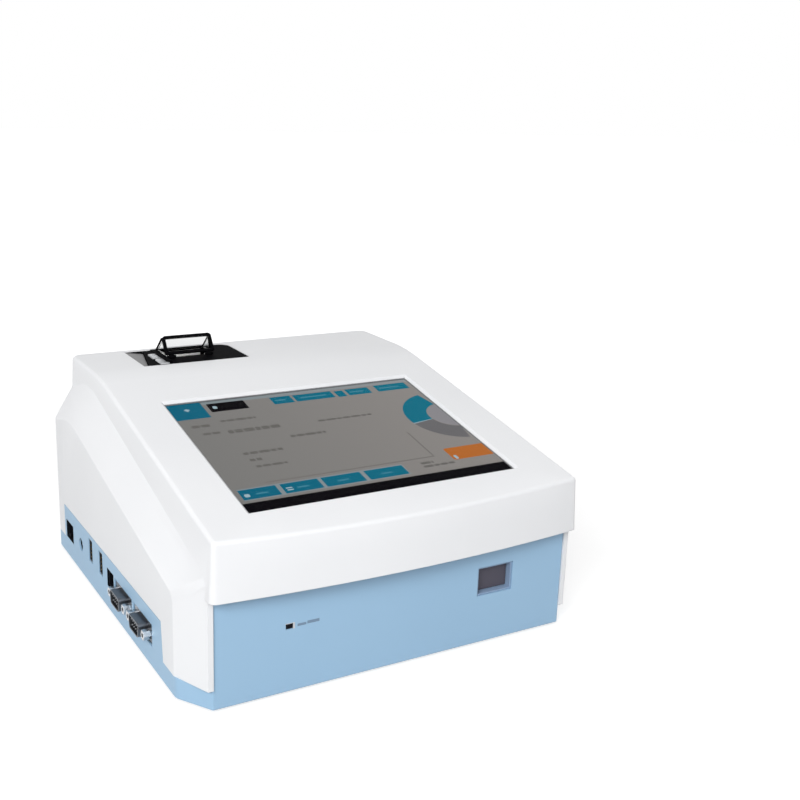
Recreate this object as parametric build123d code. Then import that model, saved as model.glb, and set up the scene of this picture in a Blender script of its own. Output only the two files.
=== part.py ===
from build123d import *
import math
import os

# Desk-top test card analyzer with a sloping touch screen, a strip printer and a card slot.
# Sizes are in millimetres. X runs across, Y from the front to the back and Z up.
# The pieces are drawn with y = 0 on the blue front wall and z = 0 under the base, and are
# moved at the end so that the origin lies on the table, in the middle of the whole outline.

# Case
CASE_DEPTH = 245.0
CHEEK_WIDTH = 238.2
RAISED_WIDTH = 221.0
FRONT_WIDTH = 214.0
CASE_HEIGHT = 126.7
WALL = 2.8
DRAFT = 3.0
REAR_CORNER = 8.0
CORNER_DEPTH = 19.5
FOOT_HEIGHT = 1.5
FIT = 0.3

# Middle of the outline, with the bowed front and the sockets' nuts
OUTLINE_X = -2.5
OUTLINE_Y = 117.2

# Raised middle of the top cover
BAND_BOTTOM = 60.0
BAND_TOP = 91.0
OVERHANG = 7.0
BAND_BOW = 6.5
SLOPE_FRONT = 5.8
SLOPE_ANGLE = 10.85
ROOF_BEND = 150.0
TOP_EDGE = 2.5
FRONT_CORNER = 4.0
RAISED_REAR_CORNER = 10.0

# Cheeks at the sides: y and z of the crisp outer edge and of the shoulder line
COVER_BOTTOM = 11.0
OUTER_FRONT = (22.0, 54.9)
OUTER_PEAK = (205.5, 94.5)
OUTER_REAR = (243.8, 84.3)
SHOULDER_FRONT = (-1.0, 71.0)
SHOULDER_PEAK = (205.5, 114.5)
SHOULDER_REAR = (242.9, 100.6)
PEAK_BEND = 70.0
SHOULDER_X = 109.7
CHEEK_ROOT = 106.8

# Screen
SCREEN_WIDTH = 162.0
SCREEN_LENGTH = 126.0
SCREEN_CENTRE = 84.2
GLASS_DEPTH = 1.8
SCREEN_FLARE = 1.7
GASKET_THICK = 0.6
GLASS_THICK = 1.8
GLASS_WIDTH = 172.0
GLASS_LENGTH = 136.0
DISPLAY_TOP = -GLASS_DEPTH - GASKET_THICK - GLASS_THICK
DISPLAY_WIDTH = 178.0
DISPLAY_LENGTH = 141.0
BRACKET_TOP = DISPLAY_TOP - 5.8
BRACKET_WIDTH = 182.0
EAR_UNDER = -14.2
SPACER_LENGTH = 4.0
SHEET = 1.2

# Printer bay in the flat rear part of the roof
BAY_LEFT = -74.0
BAY_RIGHT = -3.5
BAY_FRONT = 194.0
BAY_REAR = 235.5
BEZEL_FRONT_LEFT = -71.0
BEZEL_REAR_LEFT = -62.1
BEZEL_ARM = 232.9
FLANK_DEPTH = 1.9
BEZEL_TOP = 126.3
BEZEL_UNDER = 122.3

# Keys beside the lid
KEY_LEFT = -62.3
KEY_RIGHT = -56.6
FEED_FRONT = 196.6
FEED_REAR = 208.6
CATCH_FRONT = 212.3
CATCH_REAR = 223.0
CATCH_TRAVEL = 3.0

# Window lid of the printer, drawn open
LID_LEFT = -54.5
LID_RIGHT = -21.5
LID_PIN_Y = 211.0
LID_PIN_Z = 126.9
LID_LENGTH = 14.0
LID_OPEN = 55.0
TIE_REACH = 20.0
LID_PIN_R = 0.8

# Paper feed
PLATEN_Y = 228.4
PLATEN_Z = 106.0
PLATEN_R = 3.5
ROLL_Y = 214.0
ROLL_Z = 94.0
ROLL_R = 9.5
GEAR_MODULE = 0.5
PLATEN_TEETH = 28
PINION_TEETH = 10

# Card slot and its drive
SLOT_LEFT = 48.6
SLOT_RIGHT = 72.0
SLOT_BOTTOM = 28.2
SLOT_TOP = 45.1
STAGE_X = (SLOT_LEFT + SLOT_RIGHT) / 2
TRAY_WIDTH = 20.4
TRAY_BOTTOM = 29.8
TRAY_TOP = 36.4
TRAY_FRONT = 7.0
TRAY_LENGTH = 98.0
DRAWER_FRONT = 4.4
DRAWER_GAP = 0.5
LINER_WALL = 1.0
CARD_LENGTH = 74.0
ROD_SPREAD = 28.6
FLAG_X = 42.3
ROD_R = 2.0
SCREW_R = 2.0
DRIVE_Z = 23.0
RUN = 0.05
STAGE_HALF = 23.0
STAGE_FRONT = 9.0
STAGE_REAR = 148.0
STAGE_FLOOR = 5.0
STAGE_SHEET = 1.6
ROD_XS = (STAGE_X - ROD_SPREAD / 2, STAGE_X + ROD_SPREAD / 2)
CARRIAGE_FRONT = 76.0
CARRIAGE_REAR = TRAY_FRONT + TRAY_LENGTH
BUSH_R = 3.2
BEARING_R = 4.0
MOTOR_FACE = 150.8
HEAD_Y = 78.0
BRIDGE_HALF = 28.0
BRIDGE_TOP = 42.5
BRIDGE_SHEET = 2.5
HEAD_TOP = 66.0
BARREL_END = 38.4
BARREL_R = 6.8
LENS_R = 5.0
LAMP_R = 4.0

# Connector strip in the left cheek: heights above the base and places from the front
STRIP_FRONT = 38.0
STRIP_REAR = 225.0
STRIP_TOP = 32.6
NETWORK_Y = 213.5
POWER_Y = 188.3
USB_REAR_Y = 166.8
USB_FRONT_Y = 146.0
DEVICE_Y = 127.0
SERIAL_REAR_Y = 103.6
SERIAL_FRONT_Y = 70.1
SERIAL_Z = 18.0
SPEAKER_X = 97.5
SPEAKER_Y = 112.0
BOARD_BOTTOM = 8.4
BOARD_TOP = 10.0
OUTSIDE_X = -CHEEK_WIDTH / 2
INSIDE_X = OUTSIDE_X + WALL

JACK_Z = 18.5
USB_BOTTOM = 15.6
USB_TOP = 29.6
SERIAL_SCREW_SPREAD = 25.0

# Rear panel
PANEL_HALF = 70.0
PANEL_BOTTOM = 20.0
PANEL_TOP = 58.0
PANEL_FACE = CASE_DEPTH - 0.4
PANEL_SHEET = 2.4
GRILLE_SLOTS = 12
GRILLE_LEFT = -14.0
GRILLE_PITCH = 6.0
SWITCH_X = -50.0
SWITCH_Z = 38.0
SWITCH_HALF_X = 9.4
SWITCH_HALF_Z = 6.3

# Screws: places, pilot holes they cut into, and holes they pass through
CASE_SCREWS = [(x, y) for x in (-108, 108) for y in (32, 232)]
CASE_POST = 7.0
PILOT_R = 1.25
PASS_R = 1.7
SMALL_PASS_R = 1.6
SCREW_CORE_R = 1.2

SLOPE = Plane(
    origin=(0, -SLOPE_FRONT, BAND_TOP),
    x_dir=(1, 0, 0),
    z_dir=(0, -math.sin(math.radians(SLOPE_ANGLE)), math.cos(math.radians(SLOPE_ANGLE))),
)
PLACE = Location((-OUTLINE_X, -OUTLINE_Y, FOOT_HEIGHT))


def block(x0, x1, y0, y1, z0, z1):
    """Box between two corners."""
    return Pos((x0 + x1) / 2, (y0 + y1) / 2, (z0 + z1) / 2) * Box(x1 - x0, y1 - y0, z1 - z0)


def rod_x(x0, x1, y, z, r):
    """Round bar along X."""
    return Pos((x0 + x1) / 2, y, z) * Rot(0, 90, 0) * Cylinder(r, x1 - x0)


def rod_y(x, y0, y1, z, r):
    """Round bar along Y."""
    return Pos(x, (y0 + y1) / 2, z) * Rot(90, 0, 0) * Cylinder(r, y1 - y0)


def rod_z(x, y, z0, z1, r):
    """Round bar along Z."""
    return Pos(x, y, (z0 + z1) / 2) * Cylinder(r, z1 - z0)


def hex_bar(place, r, length):
    """Bar or fastener hole with six flats, whose inscribed radius is r, up from a place."""
    return extrude(place * RegularPolygon(r, 6, major_radius=False), amount=length)


def rounded_face(points, radii):
    """Face on XY whose corners are rounded with tangent arcs; radius 0 keeps a corner sharp."""
    ends = []
    count = len(points)
    for i, (point, radius) in enumerate(zip(points, radii)):
        here = Vector(*point)
        back = (Vector(*points[i - 1]) - here).normalized()
        on = (Vector(*points[(i + 1) % count]) - here).normalized()
        if radius == 0:
            ends.append((here, None, here))
            continue
        half = math.radians(back.get_angle(on)) / 2
        run = radius / math.tan(half)
        middle = (back + on).normalized() * (radius / math.sin(half) - radius)
        ends.append((here + back * run, here + middle, here + on * run))
    edges = []
    for i, (start, middle, end) in enumerate(ends):
        if middle is not None:
            edges.append(Edge.make_three_point_arc(start, middle, end))
        edges.append(Edge.make_line(end, ends[(i + 1) % count][0]))
    return Face(Wire(edges))


def side_prism(points, x0, x1, radii=None):
    """Profile given as (y, z) points, pulled along X from x0 to x1."""
    radii = radii or [0] * len(points)
    face = Plane.YZ.offset(x0) * rounded_face(points, radii)
    return extrude(face, amount=x1 - x0, dir=(1, 0, 0))


def plan_prism(points, z0, z1, radii=None):
    """Profile given as (x, y) points, pulled up from z0 to z1."""
    radii = radii or [0] * len(points)
    return extrude(Pos(0, 0, z0) * rounded_face(points, radii), amount=z1 - z0, dir=(0, 0, 1))


def rim_edges(solid):
    """Edges round the roof of a solid, without the joints between its roof faces."""
    seen = {}
    for face in solid.faces():
        if face.normal_at(face.center()).Z < 0.9:
            continue
        for edge in face.edges():
            middle = edge @ 0.5
            key = (round(middle.X, 3), round(middle.Y, 3), round(middle.Z, 3))
            seen.setdefault(key, []).append(edge)
    return [edges[0] for edges in seen.values() if len(edges) == 1]


# Top cover


def raised_middle(inset):
    """Raised body with a bowed front band, drafted walls and the sloping roof."""
    half = RAISED_WIDTH / 2 - inset
    front = -OVERHANG + inset
    rear = CASE_DEPTH - inset
    plan = make_face(
        [
            Edge.make_three_point_arc((-half, front), (0, front - BAND_BOW), (half, front)),
            Edge.make_line((half, front), (half, rear)),
            Edge.make_line((half, rear), (-half, rear)),
            Edge.make_line((-half, rear), (-half, front)),
        ]
    )
    rear_corners = plan.vertices().sort_by(Axis.Y)[-2:]
    if inset:
        plan = chamfer(rear_corners, RAISED_REAR_CORNER - inset)
    else:
        plan = fillet(rear_corners, RAISED_REAR_CORNER)
        plan = fillet(plan.vertices().sort_by(Axis.Y)[:2], FRONT_CORNER)
    body = extrude(Pos(0, 0, BAND_BOTTOM + inset) * plan, amount=80, taper=DRAFT)
    rise = math.tan(math.radians(SLOPE_ANGLE))
    drop = inset / math.cos(math.radians(SLOPE_ANGLE))
    bend_y = -SLOPE_FRONT + (CASE_HEIGHT - BAND_TOP) / rise
    low_y = -30.0
    roof = side_prism(
        [
            (low_y, 30),
            (low_y, BAND_TOP - drop + (low_y + SLOPE_FRONT) * rise),
            (bend_y, CASE_HEIGHT - inset),
            (CASE_DEPTH + 15, CASE_HEIGHT - inset),
            (CASE_DEPTH + 15, 30),
        ],
        -CHEEK_WIDTH / 2,
        CHEEK_WIDTH / 2,
        [0, 0, 0 if inset else ROOF_BEND, 0, 0],
    )
    return body & roof


def cheek_profile(front, peak, rear, bottom, inset, front_radius):
    """Side profile of a cheek: front edge, long slope, soft peak and leaning rear edge."""
    points = [
        (front[0] + inset, bottom),
        (front[0] + inset, front[1] - inset),
        (peak[0], peak[1] - inset),
        (rear[0] - inset, rear[1] - inset),
        (CASE_DEPTH - inset, BAND_BOTTOM),
        (CASE_DEPTH - inset, bottom),
    ]
    return rounded_face(points, [0, front_radius, PEAK_BEND, 5, 0, 0])


def stretched(outer, shoulder):
    """Point where the bevel from the outer edge over the shoulder line meets the cheek's root."""
    extra = (SHOULDER_X - CHEEK_ROOT) / (CHEEK_WIDTH / 2 - SHOULDER_X)
    return tuple(s + (s - o) * extra for s, o in zip(shoulder, outer))


def cheek(inset, bottom):
    """Right cheek with its broad bevel along the top and down the front corner."""
    root = cheek_profile(
        stretched(OUTER_FRONT, SHOULDER_FRONT),
        stretched(OUTER_PEAK, SHOULDER_PEAK),
        stretched(OUTER_REAR, SHOULDER_REAR),
        bottom,
        inset,
        4,
    )
    edge = cheek_profile(OUTER_FRONT, OUTER_PEAK, OUTER_REAR, bottom, inset, 6)
    body = loft(
        [Plane.YZ.offset(CHEEK_ROOT - inset) * root, Plane.YZ.offset(CHEEK_WIDTH / 2 - inset) * edge],
        ruled=True,
    )
    room = block(0, CHEEK_WIDTH, SHOULDER_FRONT[0] + inset, CASE_DEPTH, bottom, CASE_HEIGHT)
    return body & room


def rear_rounding(inset):
    """Plan limit that rounds the two upright corners at the back."""
    half = CHEEK_WIDTH / 2 - inset
    rear = CASE_DEPTH - inset
    points = [(-half, -20), (half, -20), (half, rear), (-half, rear)]
    return plan_prism(points, -10, 140, [0, 0, REAR_CORNER - inset, REAR_CORNER - inset])


def cover_outside():
    """Whole outer form of the top cover, still solid."""
    middle = raised_middle(0)
    middle = fillet(rim_edges(middle), TOP_EDGE)
    side = cheek(0, COVER_BOTTOM)
    side = fillet(side.faces().sort_by(Axis.X)[-1].edges().filter_by(lambda e: (e @ 0.5).Z > 20), 1.2)
    lower = block(-CHEEK_ROOT, CHEEK_ROOT, SHOULDER_FRONT[0], CASE_DEPTH, COVER_BOTTOM, BAND_BOTTOM + 3)
    return (middle + lower + side + mirror(side, about=Plane.YZ)) & rear_rounding(0)


def cover_cavity():
    """Room inside the top cover, open below and between the front legs."""
    side = cheek(WALL, -5)
    room = block(-CHEEK_ROOT, CHEEK_ROOT, WALL + FIT, CASE_DEPTH - WALL, -5, BAND_BOTTOM + WALL + 2)
    mouth = block(-CHEEK_ROOT, CHEEK_ROOT, -15, WALL + FIT + 1, -5, BAND_BOTTOM)
    mouth -= block(-RAISED_WIDTH, RAISED_WIDTH, -15, SHOULDER_FRONT[0], BAND_BOTTOM, BAND_BOTTOM + 1)
    inside = (raised_middle(WALL) + room + side + mirror(side, about=Plane.YZ)) & rear_rounding(WALL)
    return inside + mouth


def case_posts(z0, z1):
    """Four square posts near the corners of the case, which take the case screws."""
    half = CASE_POST / 2
    return [block(x - half, x + half, y - half, y + half, z0, z1) for x, y in CASE_SCREWS]


def case_holes(z0, z1, r):
    """Holes on the axes of the case screws."""
    return [hex_bar(Pos(x, y, z0), r, z1 - z0) for x, y in CASE_SCREWS]


def bezel_outline(grow):
    """Plan of the printer's bezel: slanted left edge, an arm along the rear and one large corner."""
    points = [
        (BEZEL_FRONT_LEFT - grow, BAY_FRONT - grow),
        (BAY_RIGHT + grow, BAY_FRONT - grow),
        (BAY_RIGHT + grow, BAY_REAR + grow),
        (BAY_LEFT - grow, BAY_REAR + grow),
        (BAY_LEFT - grow, BEZEL_ARM - grow),
        (BEZEL_REAR_LEFT - grow, BEZEL_ARM - grow),
    ]
    return points, [0, 1.5 + grow, 7 + grow, 0, 0, 0]


def bay_flank():
    """Shallow flank that falls from the roof to the slanted left edge of the bezel."""
    points = [
        (BAY_LEFT, BAY_FRONT),
        (BEZEL_FRONT_LEFT, BAY_FRONT),
        (BEZEL_REAR_LEFT, BEZEL_ARM),
        (BAY_LEFT, BEZEL_ARM),
    ]
    fall_x = FLANK_DEPTH / (BEZEL_REAR_LEFT - BAY_LEFT)
    front_fall = FLANK_DEPTH - fall_x * (BEZEL_FRONT_LEFT - BAY_LEFT)
    fall_y = front_fall / (BEZEL_ARM - BAY_FRONT)
    floor = Plane(origin=(BAY_LEFT, BEZEL_ARM, CASE_HEIGHT), z_dir=(fall_x, -fall_y, 1))
    return plan_prism(points, BEZEL_UNDER, CASE_HEIGHT + 5) & (floor * Pos(0, 0, 20) * Box(200, 200, 40))


def strip_profile(grow):
    """Side profile of the connector strip, with its slanted front end."""
    return [
        (STRIP_FRONT - grow, COVER_BOTTOM - 1),
        (STRIP_FRONT + 2.5 - grow, STRIP_TOP + grow),
        (STRIP_REAR + grow, STRIP_TOP + grow),
        (STRIP_REAR + grow, COVER_BOTTOM - 1),
    ]


def bracket_posts():
    """Places of the four posts that hold the screen's bracket, in the slope's own plane."""
    return [(x, s) for x in (-96, 96) for s in (40, 138)]


def make_top_cover():
    """White moulded top cover: shell, screen opening, printer bay, connector notch and posts."""
    outside = cover_outside()
    cover = outside - cover_cavity()
    for post in case_posts(COVER_BOTTOM + 1.5, 112):
        cover += post & outside
    post_end = EAR_UNDER + SHEET
    for x, s in bracket_posts():
        cover += (SLOPE * Pos(x, s, post_end + 6) * Box(6, 6, 12)) & outside
        cover -= hex_bar(SLOPE * Pos(x, s, post_end - 2), PILOT_R, 10)
    window = SLOPE * Pos(0, SCREEN_CENTRE, 0)
    mouth = Rectangle(SCREEN_WIDTH + 2 * SCREEN_FLARE, SCREEN_LENGTH + 2 * SCREEN_FLARE)
    throat = Rectangle(SCREEN_WIDTH, SCREEN_LENGTH)
    cover -= loft([window * Pos(0, 0, 0.2) * mouth, window * Pos(0, 0, 0.2 - GLASS_DEPTH) * throat], ruled=True)
    cover -= window * Box(SCREEN_WIDTH, SCREEN_LENGTH, 14)
    cover -= window * Pos(0, 0, -GLASS_DEPTH - 5) * Box(SCREEN_WIDTH + 12, SCREEN_LENGTH + 12, 10)
    points, radii = bezel_outline(0)
    cover -= plan_prism(points, CASE_HEIGHT - 12, CASE_HEIGHT + 5, radii)
    cover -= bay_flank()
    cover -= side_prism(strip_profile(FIT), OUTSIDE_X - 5, INSIDE_X + 8)
    cover -= block(-PANEL_HALF, PANEL_HALF, CASE_DEPTH - 8, CASE_DEPTH + 5, PANEL_BOTTOM, PANEL_TOP)
    for hole in case_holes(COVER_BOTTOM, COVER_BOTTOM + 20, PILOT_R):
        cover -= hole
    return cover


# Base


def base_plan(inset):
    """Plan of the base with its two slanted front corners."""
    half = CHEEK_WIDTH / 2 - inset
    front = FRONT_WIDTH / 2 - inset * 0.6
    corner_y = CORNER_DEPTH + inset * 0.4
    points = [
        (-front, inset),
        (front, inset),
        (half, corner_y),
        (half, CASE_DEPTH - inset),
        (-half, CASE_DEPTH - inset),
        (-half, corner_y),
    ]
    corner = REAR_CORNER - inset
    return points, [1, 1, corner, corner, corner, corner]


def base_ring(inset, z0, z1):
    """Solid plug of the base's plan, pulled in by the inset."""
    points, radii = base_plan(inset)
    return plan_prism(points, z0, z1, radii)


def port_openings():
    """Cutters for the openings in the connector strip."""
    x0 = OUTSIDE_X - 3
    x1 = INSIDE_X + 1
    cutters = [
        block(x0, x1, NETWORK_Y - 8.0, NETWORK_Y + 8.0, 12.0, 24.0),
        block(x0, x1, DEVICE_Y - 6.2, DEVICE_Y + 6.2, 14.2, 25.4),
        rod_x(x0, x1, POWER_Y, JACK_Z, 4.1),
    ]
    for y in (USB_REAR_Y, USB_FRONT_Y):
        cutters.append(block(x0, x1, y - 3.6, y + 3.6, USB_BOTTOM - FIT, USB_TOP + FIT))
    for y in (SERIAL_REAR_Y, SERIAL_FRONT_Y):
        cutters.append(block(x0, x1, y - 15.6, y + 15.6, SERIAL_Z - 6.4, SERIAL_Z + 6.4))
    return cutters


def make_base_tray():
    """Blue base: floor, rim, front wall with the card slot, and the connector strip."""
    tray = base_ring(0, 0, COVER_BOTTOM) - base_ring(WALL, WALL, COVER_BOTTOM + 1)
    lip = base_ring(WALL + FIT, WALL, COVER_BOTTOM + 5) - base_ring(WALL + FIT + 1.8, WALL, COVER_BOTTOM + 6)
    lip -= block(-FRONT_WIDTH, FRONT_WIDTH, -5, 34, WALL, 40)
    lip -= block(OUTSIDE_X, INSIDE_X + 6, STRIP_FRONT - 8, STRIP_REAR + 4, WALL, 40)
    tray += lip
    wall_half = CHEEK_ROOT - 0.2
    tray += block(-wall_half, wall_half, 0, WALL, 0, BAND_BOTTOM - FIT)
    tray += side_prism(strip_profile(0), OUTSIDE_X, INSIDE_X)
    for x in (-90, -40, 10, 95):
        tray += side_prism([(WALL - 0.1, WALL), (18, WALL), (WALL + 1, 50), (WALL - 0.1, 50)], x, x + 1.6)
    tray -= block(SLOT_LEFT, SLOT_RIGHT, -5, WALL + 1, SLOT_BOTTOM, SLOT_TOP)
    tray -= block(-68.0, -63.8, -5, WALL + 1, 34.7, 37.8)
    for cutter in port_openings():
        tray -= cutter
    for post in case_posts(WALL - 1, COVER_BOTTOM + 1.5):
        tray += post
    for hole in case_holes(-1, COVER_BOTTOM + 3, PASS_R):
        tray -= hole
    for row in range(-2, 3):
        reach = 10 - abs(row) * 1.5
        y = SPEAKER_Y + row * 4.5
        tray -= block(SPEAKER_X - reach, SPEAKER_X + reach, y - 1, y + 1, -1, WALL + 1)
    return tray


def make_rear_panel():
    """Blue rear panel with a ventilation grille and the cut-out for the power switch."""
    inner_y = PANEL_FACE - PANEL_SHEET
    half = PANEL_HALF - FIT
    lap = 3.0
    panel = block(-half, half, inner_y, PANEL_FACE, PANEL_BOTTOM + FIT, PANEL_TOP - FIT)
    panel += block(
        -PANEL_HALF - lap, PANEL_HALF + lap, inner_y - SHEET, inner_y, PANEL_BOTTOM - lap, PANEL_TOP + lap
    )
    for column in range(GRILLE_SLOTS):
        x = GRILLE_LEFT + column * GRILLE_PITCH
        slot = GRILLE_PITCH / 2
        panel -= block(x, x + slot, PANEL_FACE - 10, PANEL_FACE + 2, PANEL_BOTTOM + 5, PANEL_TOP - 5)
    panel -= switch_block(SWITCH_HALF_X + 0.2, SWITCH_HALF_Z + 0.2, PANEL_FACE - 8, PANEL_FACE + 2)
    for x, z in panel_screw_places():
        panel -= hex_bar(Pos(x, PANEL_FACE + 2, z) * Rot(90, 0, 0), PASS_R, 10)
    return panel


def switch_block(half_x, half_z, y0, y1):
    """Block round the middle of the power switch."""
    return block(SWITCH_X - half_x, SWITCH_X + half_x, y0, y1, SWITCH_Z - half_z, SWITCH_Z + half_z)


def panel_screw_places():
    """Places of the rear panel's two screws."""
    return [(-65, PANEL_BOTTOM + 5), (65, PANEL_TOP - 5)]


def hex_screw(r, flats, length, head):
    """Hexagon-headed machine screw that hangs down from its head."""
    return hex_bar(Pos(0, 0, -length), r, length) + hex_bar(Pos(0, 0, 0), flats / 2, head)


def make_rubber_feet():
    """Four round rubber feet under the base."""
    feet = []
    for x in (-92, 92):
        for y in (30, 215):
            feet.append(Pos(x, y, -FOOT_HEIGHT / 2) * Cone(7, 8, FOOT_HEIGHT))
    return feet


def make_case_screws():
    """Four screws that hold the cover to the base from below."""
    turned = Rot(180, 0, 0) * hex_screw(SCREW_CORE_R, 5.4, 19, 1.2)
    return [Pos(x, y, 0) * turned for x, y in CASE_SCREWS]


def make_panel_screws():
    """Two screws of the rear panel."""
    turned = Rot(-90, 0, 0) * hex_screw(SCREW_CORE_R, 5, 5, 1.6)
    return [Pos(x, PANEL_FACE, z) * turned for x, z in panel_screw_places()]


# Screen


def in_slope(width, length, top, thickness):
    """Plate that lies under the roof, centred on the screen."""
    return SLOPE * Pos(0, SCREEN_CENTRE, top - thickness / 2) * Box(width, length, thickness)


def make_glass_gasket():
    """Foam frame between the cover and the glass."""
    ring = in_slope(GLASS_WIDTH + 1, GLASS_LENGTH + 1, -GLASS_DEPTH, GASKET_THICK)
    return ring - in_slope(SCREEN_WIDTH - 0.8, SCREEN_LENGTH - 0.8, 0, 5)


def make_touch_glass():
    """Touch glass, under its gasket."""
    return in_slope(GLASS_WIDTH, GLASS_LENGTH, -GLASS_DEPTH - GASKET_THICK, GLASS_THICK)


def make_lcd_panel():
    """Display module with the step of its metal rim."""
    step = in_slope(166, 130, DISPLAY_TOP, SHEET)
    return step + in_slope(DISPLAY_WIDTH, DISPLAY_LENGTH, DISPLAY_TOP - SHEET, 4.6)


def make_lcd_bracket():
    """Pressed bracket behind the display, with four ears and a large window."""
    bracket = in_slope(BRACKET_WIDTH, 145, BRACKET_TOP, SHEET) - in_slope(130, 96, 0, 30)
    ear_length = 14.0
    for x, s in bracket_posts():
        ear = SLOPE * Pos(x * 0.955, s, EAR_UNDER + SHEET / 2) * Box(16, ear_length, SHEET)
        riser_x = math.copysign(BRACKET_WIDTH / 2 - 1, x)
        riser_high = BRACKET_TOP - EAR_UNDER
        riser = SLOPE * Pos(riser_x, s, EAR_UNDER + riser_high / 2) * Box(SHEET, ear_length, riser_high)
        bracket += ear + riser
    for x, s in bracket_posts():
        bracket -= hex_bar(SLOPE * Pos(x, s, EAR_UNDER - 1.8), SMALL_PASS_R, 6)
    return bracket


def make_lcd_board():
    """Driver board on the back of the bracket, with its connector and chips."""
    top = BRACKET_TOP - SHEET - SPACER_LENGTH
    thick = 1.6
    board = in_slope(110, 60, top, thick)
    for x, s, width, length, high in ((-30, 84, 14, 14, 1.6), (10, 90, 10, 12, 1.4), (35, 70, 6, 22, 3.5)):
        board += SLOPE * Pos(x, s, top - thick - high / 2) * Box(width, length, high)
    return board


def make_lcd_spacers():
    """Four hexagonal spacers between the bracket and the driver board."""
    foot = BRACKET_TOP - SHEET - SPACER_LENGTH
    places = [(x, SCREEN_CENTRE + s) for x in (-52, 52) for s in (-27, 27)]
    return [
        extrude(SLOPE * Pos(x, s, foot) * RegularPolygon(2.5, 6), amount=SPACER_LENGTH) for x, s in places
    ]


def make_bracket_screws():
    """Four screws that hold the bracket to the cover's posts."""
    turned = Rot(180, 0, 0) * hex_screw(SCREW_CORE_R, 5, 7, 1.6)
    return [SLOPE * Pos(x, s, EAR_UNDER) * turned for x, s in bracket_posts()]


# Printer


def lid_frame_of_reference():
    """Frame on the lid's pin: local X across, local Y up along the open lid's front pane."""
    lean = math.radians(LID_OPEN)
    return Plane(
        origin=(0, LID_PIN_Y, LID_PIN_Z),
        x_dir=(1, 0, 0),
        z_dir=(0, -math.sin(lean), math.cos(lean)),
    )


def make_printer_bezel():
    """Black bezel with the paper well, the cup under the keys, lid ears and the motor's bracket."""
    points, radii = bezel_outline(-0.2)
    bezel = plan_prism(points, BEZEL_UNDER, BEZEL_TOP, radii)
    points, radii = bezel_outline(2.0)
    points = [(x, max(y, BAY_FRONT + 1)) for x, y in points]
    bezel += plan_prism(points, BEZEL_UNDER, CASE_HEIGHT - WALL, radii)
    bezel += block(-66, -58, 194.2, 229.2, 112, BEZEL_UNDER)
    bezel -= block(-64.8, -58, 195.4, 228, 113.2, BEZEL_UNDER)
    bezel += block(-58, -18.6, 199, 235.8, 82, BEZEL_UNDER)
    bezel -= block(-55.8, -20.2, 201.4, 234.3, 83.5, BEZEL_UNDER)
    bezel -= block(LID_LEFT - 0.5, LID_RIGHT + 0.5, LID_PIN_Y + 1.6, 234.2, 100, BEZEL_TOP + 1)
    bezel -= block(KEY_LEFT - 0.2, KEY_RIGHT + 0.2, FEED_FRONT - 0.2, FEED_REAR + 0.2, BEZEL_UNDER, 130)
    catch_end = CATCH_REAR + CATCH_TRAVEL + 0.3
    bezel -= block(KEY_LEFT - 0.2, KEY_RIGHT + 0.2, CATCH_FRONT - 0.2, catch_end, BEZEL_UNDER, 130)
    bezel += block(-18.6, -4.5, 208, 235.8, 84.5, 86.5) + block(-6.5, -4.5, 208, 235.8, 84.5, BEZEL_UNDER)
    bezel -= rod_x(-60, -15, PLATEN_Y, PLATEN_Z, 1.5 + RUN)
    bezel -= block(-60, -15, ROLL_Y - 1.4, ROLL_Y + 1.4, ROLL_Z - 1.4, ROLL_Z + 1.4)
    for x in knuckle_places():
        for ear in (x - 1.2, x + 3.2):
            bezel += block(ear, ear + 1, LID_PIN_Y - 1.3, LID_PIN_Y + 0.7, BEZEL_TOP - 1, LID_PIN_Z + 1.0)
    for pin in lid_pins():
        bezel -= pin
    for x in knuckle_places():
        bezel -= block(x - 0.2, x + 3.2, LID_PIN_Y - 2.4, LID_PIN_Y + 1.7, LID_PIN_Z - 2.2, LID_PIN_Z + 3)
    return bezel


def knuckle_places():
    """Left ends of the lid's two knuckles."""
    return [LID_LEFT + 2.5, LID_RIGHT - 5.5]


def lid_pins():
    """Short pin through each knuckle and its two ears."""
    return [rod_x(x - 1.2, x + 4.2, LID_PIN_Y, LID_PIN_Z, LID_PIN_R) for x in knuckle_places()]


def make_lid_frame():
    """Black lid frame: knuckles on the pin, two legs, ridge bar and the rear tie bar."""
    pane = lid_frame_of_reference()
    outer = [(LID_LEFT, 1.4), (LID_RIGHT, 1.4), (LID_RIGHT, LID_LENGTH), (LID_LEFT, LID_LENGTH)]
    frame = extrude(pane * rounded_face(outer, [0.5, 0.5, 2.2, 2.2]), amount=1.8)
    inner, radii = pane_opening()
    frame -= extrude(pane * Pos(0, 0, -1) * rounded_face(inner, radii), amount=4)
    for x in knuckle_places():
        frame += rod_x(x, x + 3, LID_PIN_Y, LID_PIN_Z, 1.5)
        frame += pane * Pos(x + 1.5, 1.2, 0.6) * Box(3, 2.0, 1.2)
    frame -= rod_x(LID_LEFT - 1, LID_RIGHT + 1, LID_PIN_Y, LID_PIN_Z, LID_PIN_R + RUN)
    tie_y = LID_PIN_Y + TIE_REACH
    frame += rod_x(LID_LEFT, LID_RIGHT, tie_y, LID_PIN_Z, 1.1)
    for x in (LID_LEFT, LID_RIGHT - 0.9):
        frame += side_prism(strut_profile(), x, x + 0.9)
    return frame


def pane_opening():
    """Outline of the opening in the lid frame, with its corner radii."""
    left = LID_LEFT + 1.9
    right = LID_RIGHT - 1.9
    top = LID_LENGTH - 1.9
    return [(left, 3.0), (right, 3.0), (right, top), (left, top)], [0.8, 0.8, 1.2, 1.2]


def ridge_point():
    """Middle of the ridge bar as (y, z)."""
    lean = math.radians(LID_OPEN)
    reach = LID_LENGTH - 1.2
    return LID_PIN_Y + reach * math.cos(lean), LID_PIN_Z + reach * math.sin(lean) + 0.6


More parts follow.
